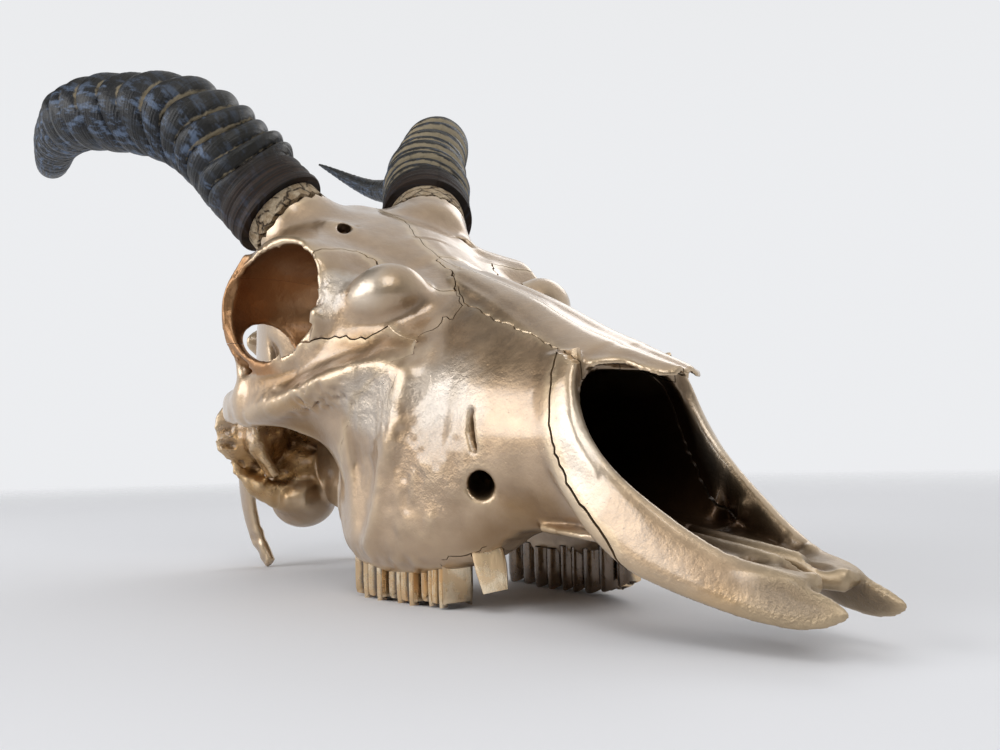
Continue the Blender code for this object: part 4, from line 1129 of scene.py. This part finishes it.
def inside_eye(x, y, z, normals):
    """How far points lie inside the hollow of an eye, and on the wall behind it."""
    cx, cy, cz = ORBIT_CENTRE
    turn = math.radians(ORBIT_TURN)
    dx, dy, dz = x - cx, y - cy, z - cz
    along = (dx * math.cos(turn) + dy * math.sin(turn)) / (ORBIT_RADII.x + 1.2)
    across = (dy * math.cos(turn) - dx * math.sin(turn)) / (ORBIT_RADII.y + 1.2)
    deep = (along ** 2 + across ** 2 + (dz / (ORBIT_RADII.z + 1.2)) ** 2) < 1
    mouth = (dx - (ORBIT_MOUTH.x - cx)) * ORBIT_FACING.x + (dy - (ORBIT_MOUTH.y - cy)) * ORBIT_FACING.y
    mouth = mouth + (dz - (ORBIT_MOUTH.z - cz)) * ORBIT_FACING.z
    eye = deep * np.clip(-(mouth + 1) / 5, 0, 1)
    lip = ((dx / (ORBIT_RADII.x + 8)) ** 2 + (dy / (ORBIT_RADII.y + 6)) ** 2
           + (dz / (ORBIT_RADII.z + 5)) ** 2) < 1
    inward = -(dx * normals[:, 0] + dz * normals[:, 2]) / np.sqrt(dx ** 2 + dz ** 2 + 1e-6)
    behind = np.clip((-dx - 0.5 * dz - 2) / 6, 0, 1)
    return np.maximum(eye, lip * behind * np.clip((inward + 0.7) / 0.3, 0, 1))


def inside_nose(x, y, z, outward):
    """How far points lie inside the hollow of the nose, fading out towards its opening."""
    xs = np.linspace(12, 170, 80)
    forms = (NOSE_HALF, NOSE_FLOOR, NOSE_ROOF)
    half, low, high = [np.interp(x, xs, [form(v) for v in xs]) for form in forms]
    rim = np.interp(x, [97, 102.5, 110, 124, 140, 158], [60, 42, 31, 19.5, 10.5, 5])
    inside = (np.abs(y) < half + np.where(x > 84, 3.0, 0.8)) & (z > low - 1.5) & (z < high + 2) & (x > 12)
    inside &= ~((np.abs(y) > half - 1.5) & (outward > 0.15))
    return inside * np.clip((rim + 2.0 - z) / 13, 0, 1) ** 0.7 * np.clip((158 - x) / 25, 0, 1)


def mark_surface(obj):
    """Notes on each point how hollow or sharp the surface is, and how far inside the nose or an eye."""
    mesh = obj.data
    count = len(mesh.vertices)
    places = read_rows(mesh.vertices, "co", 3)
    normals = read_rows(mesh.vertices, "normal", 3)
    a, b = read_rows(mesh.edges, "vertices", 2, np.int32).T
    links = np.maximum(np.bincount(np.concatenate([a, b]), minlength=count), 1)

    def spread(values):
        total = np.bincount(a, values[b], count) + np.bincount(b, values[a], count)
        return total / links

    far = places.copy()
    for _ in range(6):
        far = np.stack([spread(far[:, i]) for i in range(3)], axis=1)
    bend = np.einsum("ij,ij->i", far - places, normals)
    for _ in range(3):
        bend = spread(bend)
    x, y, z = places.T.astype(float)
    side = np.sign(y)
    add_note(mesh, "hollow", np.clip(bend / FULL_BEND, 0, 1))
    add_note(mesh, "edge", np.clip(-bend / FULL_BEND, 0, 1))
    add_note(mesh, "eye", inside_eye(x, y * side, z, normals))
    add_note(mesh, "nose", inside_nose(x, y, z, normals[:, 1] * side))


def shade(obj, angle):
    obj.data.shade_smooth()
    obj.data.set_sharp_from_angle(angle=math.radians(angle))


def dress(obj, name, nodes, material):
    """Names a finished piece, sets it down on the floor, paints it and lets it stand for its solids."""
    obj.name = name
    stand(obj)
    obj.data.materials.clear()
    obj.data.materials.append(material)
    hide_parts(*nodes)
    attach(obj, "root")


# Finishes

def new_group(name, inputs, outputs):
    group = bpy.data.node_groups.new(name, "ShaderNodeTree")
    for socket, kind, value in inputs:
        made = group.interface.new_socket(socket, in_out="INPUT", socket_type="NodeSocket" + kind)
        made.default_value = value
    for socket, kind in outputs:
        group.interface.new_socket(socket, in_out="OUTPUT", socket_type="NodeSocket" + kind)
    start = group.nodes.new("NodeGroupInput")
    end = group.nodes.new("NodeGroupOutput")
    return group, start.outputs, end.inputs


class Wires:
    """Short words for building a node tree."""

    def __init__(self, tree):
        self.tree = tree

    def node(self, kind, settings, sockets):
        """A new node with its settings, and a value or a link for each socket named or numbered."""
        made = self.tree.nodes.new("ShaderNode" + kind)
        for name, value in settings.items():
            setattr(made, name, value)
        for name, value in sockets.items():
            self.plug(made.inputs[name], value)
        return made.outputs

    def plug(self, socket, value):
        if isinstance(value, bpy.types.NodeSocket):
            self.tree.links.new(value, socket)
        else:
            socket.default_value = value

    def math(self, operation, *values, clamp=False):
        return self.node("Math", {"operation": operation, "use_clamp": clamp}, dict(enumerate(values)))[0]

    def times(self, a, b):
        return self.math("MULTIPLY", a, b)

    def plus(self, a, b):
        return self.math("ADD", a, b)

    def minus(self, a, b):
        return self.math("SUBTRACT", a, b)

    def larger(self, a, b):
        return self.math("MAXIMUM", a, b)

    def vector(self, operation, *values):
        outputs = self.node("VectorMath", {"operation": operation}, dict(enumerate(values)))
        return outputs["Value" if operation in ("LENGTH", "DOT_PRODUCT") else "Vector"]

    def split(self, place):
        return self.node("SeparateXYZ", {}, {0: place})

    def joined(self, *values):
        return self.node("CombineXYZ", {}, dict(enumerate(values)))[0]

    def ramp(self, value, low, high, start=0.0, end=1.0):
        sockets = dict(enumerate((value, low, high, start, end)))
        return self.node("MapRange", {"interpolation_type": "SMOOTHSTEP"}, sockets)[0]

    def mix(self, share, a, b):
        colours = [(*colour, 1) if isinstance(colour, tuple) else colour for colour in (a, b)]
        return self.node("Mix", {"data_type": "RGBA"}, {0: share, 6: colours[0], 7: colours[1]})[2]

    def noise(self, place, scale, detail=3.0, roughness=0.55, output="Fac"):
        sockets = {"Vector": place, "Scale": scale, "Detail": detail, "Roughness": roughness}
        return self.node("TexNoise", {}, sockets)[output]

    def cells(self, place, scale, feature="F1"):
        return self.node("TexVoronoi", {"feature": feature}, {"Vector": place, "Scale": scale})["Distance"]

    def stretched(self, place, scale, turn=(0, 0, 0)):
        turned = [math.radians(angle) for angle in turn]
        return self.node("Mapping", {}, {"Vector": place, "Scale": scale, "Rotation": turned})[0]

    def place(self):
        return self.node("TexCoord", {}, {})["Object"]

    def attribute(self, name):
        return self.node("Attribute", {"attribute_name": name}, {})["Fac"]

    def bump(self, height, distance, strength):
        return self.node("Bump", {}, {"Height": height, "Distance": distance, "Strength": strength})[0]


def world_place(point):
    """A place in the skull's millimetres as a place in the model's metres."""
    x, y, z = point
    return ((x - FOOTPRINT_MIDDLE[0]) * MM, (y - FOOTPRINT_MIDDLE[1]) * MM, (z + TOOTH_DROP) * MM)


def zone_group():
    """How far a point lies inside a soft-edged egg, with a ragged edge."""
    inputs = [("Place", "Vector", (0, 0, 0)), ("Middle", "Vector", (0, 0, 0)),
              ("Size", "Vector", (1, 1, 1)), ("Soft", "Float", 0.5), ("Ragged", "Float", 0.3)]
    group, given, out = new_group("zone", inputs, [("Share", "Float")])
    w = Wires(group)
    scaled = w.vector("DIVIDE", w.vector("SUBTRACT", given["Place"], given["Middle"]), given["Size"])
    wander = w.times(w.minus(w.noise(given["Place"], 130, 4), 0.5), given["Ragged"])
    reach = w.plus(w.vector("LENGTH", scaled), wander)
    near = w.minus(1.0, given["Soft"])
    w.plug(out["Share"], w.ramp(reach, near, 1.0, 1.0, 0.0))
    return group


def paint_group():
    """Metal paint laid on with a brush over bone: its unevenness, its drips and the pores under it."""
    group, given, out = new_group(
        "metal_paint", [("Place", "Vector", (0, 0, 0)), ("Pores", "Float", 0.2), ("Rough", "Float", 0.2)],
        [("Height", "Float"), ("Tone", "Float"), ("Gloss", "Float")])
    w = Wires(group)
    place = given["Place"]
    broad = w.noise(place, 22, 4)
    middle = w.noise(place, 110, 5, 0.6)
    lumps = w.noise(place, 420, 5, 0.6)
    grain = w.noise(place, 1500, 3, 0.6)
    strokes = w.noise(w.stretched(place, (140, 420, 260), (0, 25, 8)), 1.0, 4, 0.6)
    holes = w.ramp(w.cells(place, 420), 0.0, 0.16, 0.0, 1.0)
    holes = w.math("MULTIPLY_ADD", w.minus(holes, 1.0), given["Pores"], 0.0)
    height = w.times(w.minus(middle, 0.5), 1.4)
    height = w.math("MULTIPLY_ADD", w.minus(lumps, 0.5), w.plus(given["Rough"], 0.15), height)
    height = w.math("MULTIPLY_ADD", w.minus(grain, 0.5), w.times(given["Rough"], 0.4), height)
    height = w.math("MULTIPLY_ADD", w.minus(strokes, 0.5), 0.10, height)
    height = w.plus(height, holes)
    w.plug(out["Height"], height)
    w.plug(out["Tone"], w.plus(w.times(broad, 0.6), w.times(middle, 0.4)))
    w.plug(out["Gloss"], w.plus(w.times(middle, 0.5), w.times(strokes, 0.5)))
    return group


def new_material(name):
    material = bpy.data.materials.new(name)
    material.use_nodes = True
    wires = Wires(material.node_tree)
    return material, wires, material.node_tree.nodes["Principled BSDF"].inputs


def use_group(w, group, **sockets):
    return w.node("Group", {"node_tree": group}, sockets)


PAINT_METAL = 0.9
PAINT_COAT_IOR = 1.8
GOLD_LIGHT = (0.47, 0.33, 0.205)
GOLD_MIDDLE = (0.33, 0.22, 0.125)
GOLD_DEEP = (0.44, 0.25, 0.085)
EYE_BROWN_AND_SHADE = (0.34, 0.18, 0.08)
NOSE_BROWN_AND_SHADE = (0.055, 0.028, 0.012)

# Where the paint looks different: middle, half sizes in the skull's millimetres, softness, raggedness
# Silvery paint in places, and painted highlight: the place at (17, 39, 88) lightens the swelling in front
# of the eye as a highlight would
SILVER_AND_HIGHLIGHT_PLACES = (
    ((24, 44, 50), (20, 14, 15), 0.6, 0.5),
    ((1, 43, 88), (8, 12, 12), 0.5, 0.6),
    ((17, 39, 88), (10, 11, 10), 0.6, 0.3),
    ((52, 34, 52), (24, 14, 20), 0.8, 0.8),
    ((106, 25, 34), (16, 10, 26), 0.8, 0.8),
)
GOLDEN_PLACES = (
    ((-12, 53, 50), (22, 10, 4), 0.7, 0.8),
    ((-80, 36, 32), (26, 24, 22), 0.5, 0.6),
    ((152, 18, -2), (24, 9, 6), 0.8, 0.8),
)
# Browner paint on the ear bones and at the front of the jaw, and painted shade under the cheek bone, below
# the swelling in front of the eye, beside the nose opening and low over the teeth
BROWN_AND_SHADE_PLACES = (
    ((-80, 30, 26), (26, 30, 26), 0.5, 0.5),
    ((16, 42, 70), (22, 10, 6), 0.8, 0.6),
    ((84, 24, 16), (26, 14, 14), 0.8, 0.6),
    ((-22, 45, 40), (26, 14, 12), 0.7, 0.5),
    ((-20, 56, 60), (22, 12, 4), 0.7, 0.6),
    ((168, 14, 1), (14, 12, 10), 0.8, 0.6),
    ((140, 6, 6), (26, 10, 8), 0.6, 0.5),
    ((78, 28, 8), (30, 14, 12), 0.8, 0.5),
)
DULL_PLACES = (
    ((166, 12, 0), (24, 18, 12), 0.5, 0.5),
    ((146, 6, 9), (32, 12, 6), 0.5, 0.5),
)
ROUGH_PLACES = (
    ((-84, 38, 36), (28, 26, 24), 0.4, 0.5),
    ((24, 44, 50), (22, 14, 17), 0.6, 0.5),
    ((165, 14, 0), (14, 10, 9), 0.7, 0.5),
    ((2, 43, 87), (9, 13, 13), 0.5, 0.5),
    ((52, 34, 38), (26, 16, 30), 0.8, 0.6),
)


def both_sides(w, place):
    """The place with its left and right folded onto each other."""
    x, y, z = w.split(place)
    return w.joined(x, w.math("ABSOLUTE", w.plus(y, FOOTPRINT_MIDDLE[1] * MM)), z)


def places_mask(w, zone, folded, places):
    total = None
    for middle, size, soft, ragged_edge in places:
        x, _, z = world_place(middle)
        share = use_group(w, zone, Place=folded, Middle=(x, middle[1] * MM, z),
                          Size=tuple(s * MM for s in size), Soft=soft, Ragged=ragged_edge)["Share"]
        total = share if total is None else w.larger(total, share)
    return total


def gold_paint():
    """Champagne gold: warmer and darker in hollows as painted shade, lighter on sharp edges as painted
    highlight, silvery in places with a painted highlight on the swelling before the eye, brown with painted
    shade inside the openings.
    """
    material, w, shader = new_material("gold paint")
    zone, paint = zone_group(), paint_group()
    place = w.place()
    folded = both_sides(w, place)
    silver_and_highlight, golden, brown, dull, coarse = [
        places_mask(w, zone, folded, places)
        for places in (SILVER_AND_HIGHLIGHT_PLACES, GOLDEN_PLACES, BROWN_AND_SHADE_PLACES, DULL_PLACES, ROUGH_PLACES)
    ]
    laid = use_group(w, paint, Place=place, Pores=0.15, Rough=w.math("MULTIPLY_ADD", coarse, 2.0, 0.2))
    colour = w.mix(w.ramp(laid["Tone"], 0.36, 0.62), GOLD_MIDDLE, GOLD_LIGHT)
    # Tints over the paint: the brown-and-shade places browner, the golden places deeper, the dull ones
    # duller and the silver-and-highlight places paler; then darker in hollows, a painted shade, and lighter
    # on sharp edges, a painted highlight
    tints = (
        (brown, 0.8, (0.24, 0.14, 0.06)),
        (golden, 0.7, GOLD_DEEP),
        (dull, 0.85, (0.26, 0.20, 0.135)),
        (silver_and_highlight, 0.75, (0.62, 0.55, 0.47)),
        (w.ramp(w.attribute("hollow"), 0.1, 0.9), 0.75, (0.16, 0.09, 0.04)),
        (w.attribute("edge"), 0.5, (0.72, 0.56, 0.36)),
    )
    for share, strength, tint in tints:
        colour = w.mix(w.times(share, strength), colour, tint)
    # Brown bone with painted shade inside the eyes and the nose, the nose darkest well below the edge of
    # its opening and fading towards its front
    eye, nose = w.attribute("eye"), w.attribute("nose")
    colour = w.mix(nose, w.mix(eye, colour, EYE_BROWN_AND_SHADE), NOSE_BROWN_AND_SHADE)
    w.plug(shader["Base Color"], colour)
    shader["Metallic"].default_value = PAINT_METAL
    dark = w.larger(eye, nose)
    gloss = w.ramp(laid["Gloss"], 0.3, 0.7, 0.34, 0.46)
    gloss = w.plus(gloss, w.times(dull, 0.12))
    gloss = w.plus(gloss, w.times(golden, -0.1))
    w.plug(shader["Roughness"], w.plus(gloss, w.times(coarse, -0.08)))
    w.plug(shader["Normal"], w.bump(laid["Height"], 0.0005, 0.7))
    shader["Coat Roughness"].default_value = 0.16
    shader["Coat IOR"].default_value = PAINT_COAT_IOR
    flat = w.larger(w.times(dark, 0.85), w.times(dull, 0.8))
    flat = w.larger(flat, w.times(brown, 0.75))
    w.plug(shader["Coat Weight"], w.math("MULTIPLY_ADD", flat, -0.8, 0.8, clamp=True))
    return material


def horn_material():
    """Dark ringed horn: thin pale lines at the rings' edges, black streaks with a painted blue sheen
    between them, brown near the rim.
    """
    material, w, shader = new_material("ringed horn")
    place = w.place()
    crest, along, around = w.attribute("crest"), w.attribute("along"), w.attribute("around")
    on_horn = w.joined(w.times(along, 4.0), w.times(around, 30.0), 0.0)
    streaks = w.noise(on_horn, 1.0, 6, 0.65)
    rings = w.noise(w.stretched(on_horn, (16, 0.12, 1)), 1.0, 4, 0.6)
    patches = w.noise(place, 55, 4)
    # The dark streaks are the horn's own; the blue between them is a painted sheen
    colour = w.mix(w.ramp(streaks, 0.47, 0.63), (0.004, 0.005, 0.008), (0.095, 0.135, 0.21))
    colour = w.mix(w.times(w.ramp(patches, 0.46, 0.62), 0.8), colour, (0.012, 0.012, 0.011))
    upper = w.attribute("upper")
    colour = w.mix(w.times(w.ramp(upper, 0.55, 0.95), 0.75), colour, (0.020, 0.018, 0.013))
    rim = w.ramp(along, 0.25, 0.75, 1.0, 0.0)
    brown = w.mix(w.ramp(rings, 0.4, 0.65), (0.006, 0.003, 0.002), (0.050, 0.022, 0.009))
    colour = w.mix(w.times(rim, 0.8), colour, brown)
    uneven = w.times(w.minus(w.noise(place, 240, 4, 0.65), 0.5), 1.5)
    pale = w.times(crest, w.ramp(upper, 0.15, 0.75, 0.2, 1.0))
    pale = w.ramp(w.plus(pale, uneven), 0.35, 0.85)
    colour = w.mix(w.times(pale, 0.85), colour, (0.36, 0.295, 0.19))
    shader["Specular IOR Level"].default_value = 0.32
    w.plug(shader["Base Color"], colour)
    rough = w.plus(w.ramp(streaks, 0.3, 0.7, 0.30, 0.46), w.times(w.larger(pale, rim), 0.25))
    w.plug(shader["Roughness"], rough)
    height = w.plus(w.times(rings, 0.45), w.times(streaks, 0.55))
    w.plug(shader["Normal"], w.bump(height, 0.0008, 0.7))
    return material


def core_material():
    """Bare horn core: cream crust in uneven chunks with thin dark cracks between them."""
    material, w, shader = new_material("bare horn core")
    place = w.place()
    shift = w.vector("MULTIPLY", w.noise(place, 260, 2, 0.5, "Color"), (0.004, 0.004, 0.004))
    chunks = w.cells(w.vector("ADD", place, shift), 150, "DISTANCE_TO_EDGE")
    fine = w.noise(place, 900, 6, 0.7)
    lumps = w.noise(place, 300, 4, 0.6)
    seams = w.ramp(w.plus(chunks, w.times(w.minus(fine, 0.5), 0.10)), 0.0, 0.08)
    seams = w.larger(seams, w.ramp(lumps, 0.45, 0.62))
    colour = w.mix(w.ramp(lumps, 0.35, 0.65), (0.44, 0.31, 0.18), (0.72, 0.58, 0.40))
    colour = w.mix(w.times(w.ramp(fine, 0.5, 0.72), 0.5), colour, (0.22, 0.14, 0.07))
    colour = w.mix(seams, (0.05, 0.03, 0.016), colour)
    w.plug(shader["Base Color"], colour)
    shader["Roughness"].default_value = 0.85
    height = w.plus(w.times(seams, 0.7), w.plus(fine, w.times(lumps, 0.8)))
    w.plug(shader["Normal"], w.bump(height, 0.0014, 1.0))
    return material


def tooth_material():
    """Gold paint on the folded teeth, lighter than the bone's as a painted highlight, with brown left in
    the grooves and painted shade there, at the biting end and on the teeth's inner side.
    """
    material, w, shader = new_material("painted tooth")
    place = w.place()
    streaks = w.noise(w.stretched(place, (700, 700, 70)), 1.0, 4, 0.6)
    stains = w.noise(place, 170, 4)
    # A lighter copy of the gold paint, a painted highlight, in stains of random tone; the groove note then
    # lays on painted shade
    colour = w.mix(w.ramp(stains, 0.42, 0.64), (0.84, 0.60, 0.34), (0.97, 0.79, 0.54))
    groove_shade = w.plus(w.attribute("groove_shade"), w.times(w.minus(stains, 0.5), 0.7))
    colour = w.mix(w.times(w.ramp(groove_shade, 0.3, 0.9), 0.94), colour, (0.06, 0.028, 0.010))
    w.plug(shader["Base Color"], colour)
    shader["Metallic"].default_value = PAINT_METAL
    shader["Coat Weight"].default_value = 0.8
    shader["Coat Roughness"].default_value = 0.12
    shader["Coat IOR"].default_value = PAINT_COAT_IOR
    w.plug(shader["Roughness"], w.ramp(stains, 0.3, 0.7, 0.32, 0.2))
    w.plug(shader["Normal"], w.bump(streaks, 0.0004, 0.6))
    return material


def ring_edges(side_name):
    """Where the grooves between a horn's rings lie along it: close at the rim, wider further out."""
    rng = np.random.default_rng(5 + SIDES[side_name])
    widths = np.interp(np.arange(HORN_RINGS), (0, 2, 5, HORN_RINGS - 1), (0.55, 0.75, 1.15, 1.0))
    widths *= rng.uniform(0.88, 1.12, HORN_RINGS)
    reach = HORN_RING_SHARE - HORN_RIM_SHARE
    edges = HORN_RIM_SHARE + np.concatenate([[0], np.cumsum(widths)]) * reach / widths.sum()
    return edges, rng.uniform(0.8, 1.2, HORN_RINGS + 1), rng.uniform(-0.12, 0.12, HORN_RINGS + 1)


def fine_horn(side_name):
    """A ringed horn sheath: rounded cups with sharp grooves between them, and notes for its finish."""
    side = SIDES[side_name]
    path = smooth_path(HORN_PATHS[side_name])
    edges, size, tilt = ring_edges(side_name)
    rings, notes = [], []
    shares = np.concatenate([np.linspace(0, HORN_RING_SHARE + 0.05, 420),
                             np.linspace(HORN_RING_SHARE + 0.055, 0.997, 80)])
    for t in shares:
        along = (path(min(t + 0.01, 1)) - path(max(t - 0.01, 0))).normalized()
        along = along.lerp(horn_axis(side_name)[1], max(1 - t / 0.06, 0)).normalized()
        out = Vector((0, 1, 0))
        out = (out - along * out.dot(along)).normalized()
        up = along.cross(out) * -1
        radius = HORN_RADIUS * (1 - t ** 1.35) ** 0.878 + 0.5
        fade = min(max((HORN_RING_SHARE + 0.02 - t) / 0.16, 0), 1)
        fade *= min(max((t - HORN_RIM_SHARE) / 0.03, 0), 1)
        ring = []
        for angle in np.linspace(0, 2 * math.pi, FINE_AROUND, endpoint=False):
            upper = 0.5 + 0.5 * math.cos(angle + 0.25)
            bowed = t + 0.012 * math.sin(2 * angle + 9 * t) - 0.006 * math.cos(angle)
            i = min(max(int(np.searchsorted(edges, bowed)) - 1, 0), HORN_RINGS - 1)
            u = (bowed - edges[i]) / (edges[i + 1] - edges[i]) + tilt[i] * 0.4 * math.sin(angle)
            u = min(max(u, 0), 1)
            cup = (u ** 0.42) * (1 - u ** 3.2) ** 0.8 * 1.6 * size[i]
            if side == 1:
                pale = math.exp(-((u - 0.2) / 0.17) ** 2)
            else:
                pale = math.exp(-(u / 0.09) ** 2) + 0.6 * math.exp(-((u - 1) / 0.06) ** 2)
            strength = (0.2 + 0.8 * upper ** 1.5) * fade
            lines = 0.07 * math.sin(t * 2100) + 0.09 * math.sin(t * 1270 + 2 * math.sin(angle))
            band = 0.35 * math.sin(t * 330 + 0.4 * math.sin(angle)) * max(1 - t / 0.07, 0)
            r = radius + (cup * 2.3 - 1.5) * strength * HORN_RING_HEIGHT + lines + band
            p = path(t) + up * (r * math.cos(angle)) + out * (r * math.sin(angle))
            ring.append(Vector((p.x, p.y * side, p.z)))
            notes.append((*ring[-1], min(pale, 1) * fade, t * 10, angle / (2 * math.pi), upper))
        rings.append(ring)
    obj = loft(f"ringed_horn_{side_name}", rings)
    note_points(obj, notes, ("crest", "along", "around", "upper"))
    return obj


def note_points(obj, notes, names):
    """Writes notes, each a place and its values, on the mesh's points at those places."""
    known = {tuple(round(float(c), 3) for c in note[:3]): note[3:] for note in notes}
    blank = (0.0,) * len(names)
    values = [known.get(tuple(round(c, 3) for c in v.co), blank) for v in obj.data.vertices]
    for i, name in enumerate(names):
        add_note(obj.data, name, [value[i] for value in values])


def aim(obj, place, direction, roll=0):
    """Puts a camera or a light in its place and turns it to look in a direction."""
    obj.location = place
    obj.rotation_mode = "QUATERNION"
    spin = Matrix.Rotation(math.radians(roll), 3, "Z").to_quaternion()
    obj.rotation_quaternion = Vector(direction).to_track_quat("-Z", "Y") @ spin


def camera():
    data = bpy.data.cameras.new("camera")
    data.sensor_width = 36
    data.lens = CAMERA_LENS
    data.clip_start = 0.01
    obj = add_object("camera", data)
    aim(obj, world_place(CAMERA_PLACE), CAMERA_AIM, CAMERA_ROLL)
    bpy.context.scene.camera = obj


# The side of the room that the camera looks from is darker, as seen in the paint's reflections
DARK_SIDE = (0.82, -0.57, 0)
# A second dark side of the room, behind the skull on its right
DARK_BACK = (-0.684, -0.29, 0.669)
LIGHTS_AIM = Vector((0, 0, 0.08))


def softbox(name, place, size, energy):
    data = bpy.data.lights.new(name, "AREA")
    data.shape = "RECTANGLE"
    data.size, data.size_y = size
    data.energy = energy
    aim(add_object(name, data), place, LIGHTS_AIM - Vector(place))


def studio():
    """A pale floor, a soft room with two darker sides, a broad window and two weaker ones."""
    bpy.context.scene.view_settings.view_transform = "Standard"
    world = bpy.data.worlds.new("room")
    bpy.context.scene.world = world
    world.use_nodes = True
    w = Wires(world.node_tree)
    outward = w.node("TexCoord", {}, {})["Generated"]
    front_lit = w.ramp(w.vector("DOT_PRODUCT", outward, DARK_SIDE), -0.1, 0.8, 1.0, 0.25)
    back_lit = w.ramp(w.vector("DOT_PRODUCT", outward, DARK_BACK), 0.87, 0.97, 1.0, 0.15)
    lit = w.times(front_lit, back_lit)
    sky = w.ramp(w.split(outward)[2], 0.2, 0.85)
    colour = w.mix(sky, (0.84, 0.85, 0.87), (0.78, 0.78, 0.78))
    background = world.node_tree.nodes["Background"]
    w.plug(background.inputs[0], colour)
    w.plug(background.inputs[1], lit)
    softbox("window", (-0.42, -1.25, 0.62), (1.1, 0.7), 8.5)
    softbox("front_window", (0.72, -0.5, 0.95), (0.6, 0.7), 4.2)
    softbox("far_window", (-0.5, 1.1, 0.9), (0.8, 0.5), 2)
    bm = bmesh.new()
    bmesh.ops.create_grid(bm, x_segments=1, y_segments=1, size=4)
    mesh = bpy.data.meshes.new("floor")
    bm.to_mesh(mesh)
    bm.free()
    floor = add_object("floor", mesh)
    material, w, shader = new_material("pale floor")
    shader["Base Color"].default_value = (0.795, 0.80, 0.825, 1)
    shader["Roughness"].default_value = 0.7
    w.plug(shader["Alpha"], w.ramp(w.vector("LENGTH", w.place()), 0.55, 1.7, 1.0, 0.0))
    mesh.materials.append(material)


def main():
    camera()
    studio()
    gold = gold_paint()
    bare = core_material()
    sheath = horn_material()
    enamel = tooth_material()
    bone = fine_bone()
    before = set(bpy.data.objects)
    jaws = part_bone(bone)
    for side_name, side in SIDES.items():
        for line, facing, width in CRACKS:
            crack(jaws[side_name], [(x, y * side if facing[2] else y) for x, y in line],
                  (facing[0], facing[1] * side, facing[2]), width, 13 + side)
    teeth(jaws)
    made = [obj for obj in bpy.data.objects if obj not in before] + [bone]
    for obj in made:
        node = obj.name.split(".")[0]
        mark_surface(obj)
        shade(obj, 45 if "molar" not in node else 60)
        if node.startswith("horn_core"):
            dress(obj, "bare_" + node, [node], bare)
        elif "molar" in node:
            dress(obj, "tooth_" + node, [node], enamel)
        else:
            dress(obj, "gilded_" + node, [node], gold)
    for side_name in SIDES:
        obj = fine_horn(side_name)
        shade(obj, 60)
        dress(obj, f"ringed_horn_{side_name}", [f"horn_{side_name}"], sheath)


main()
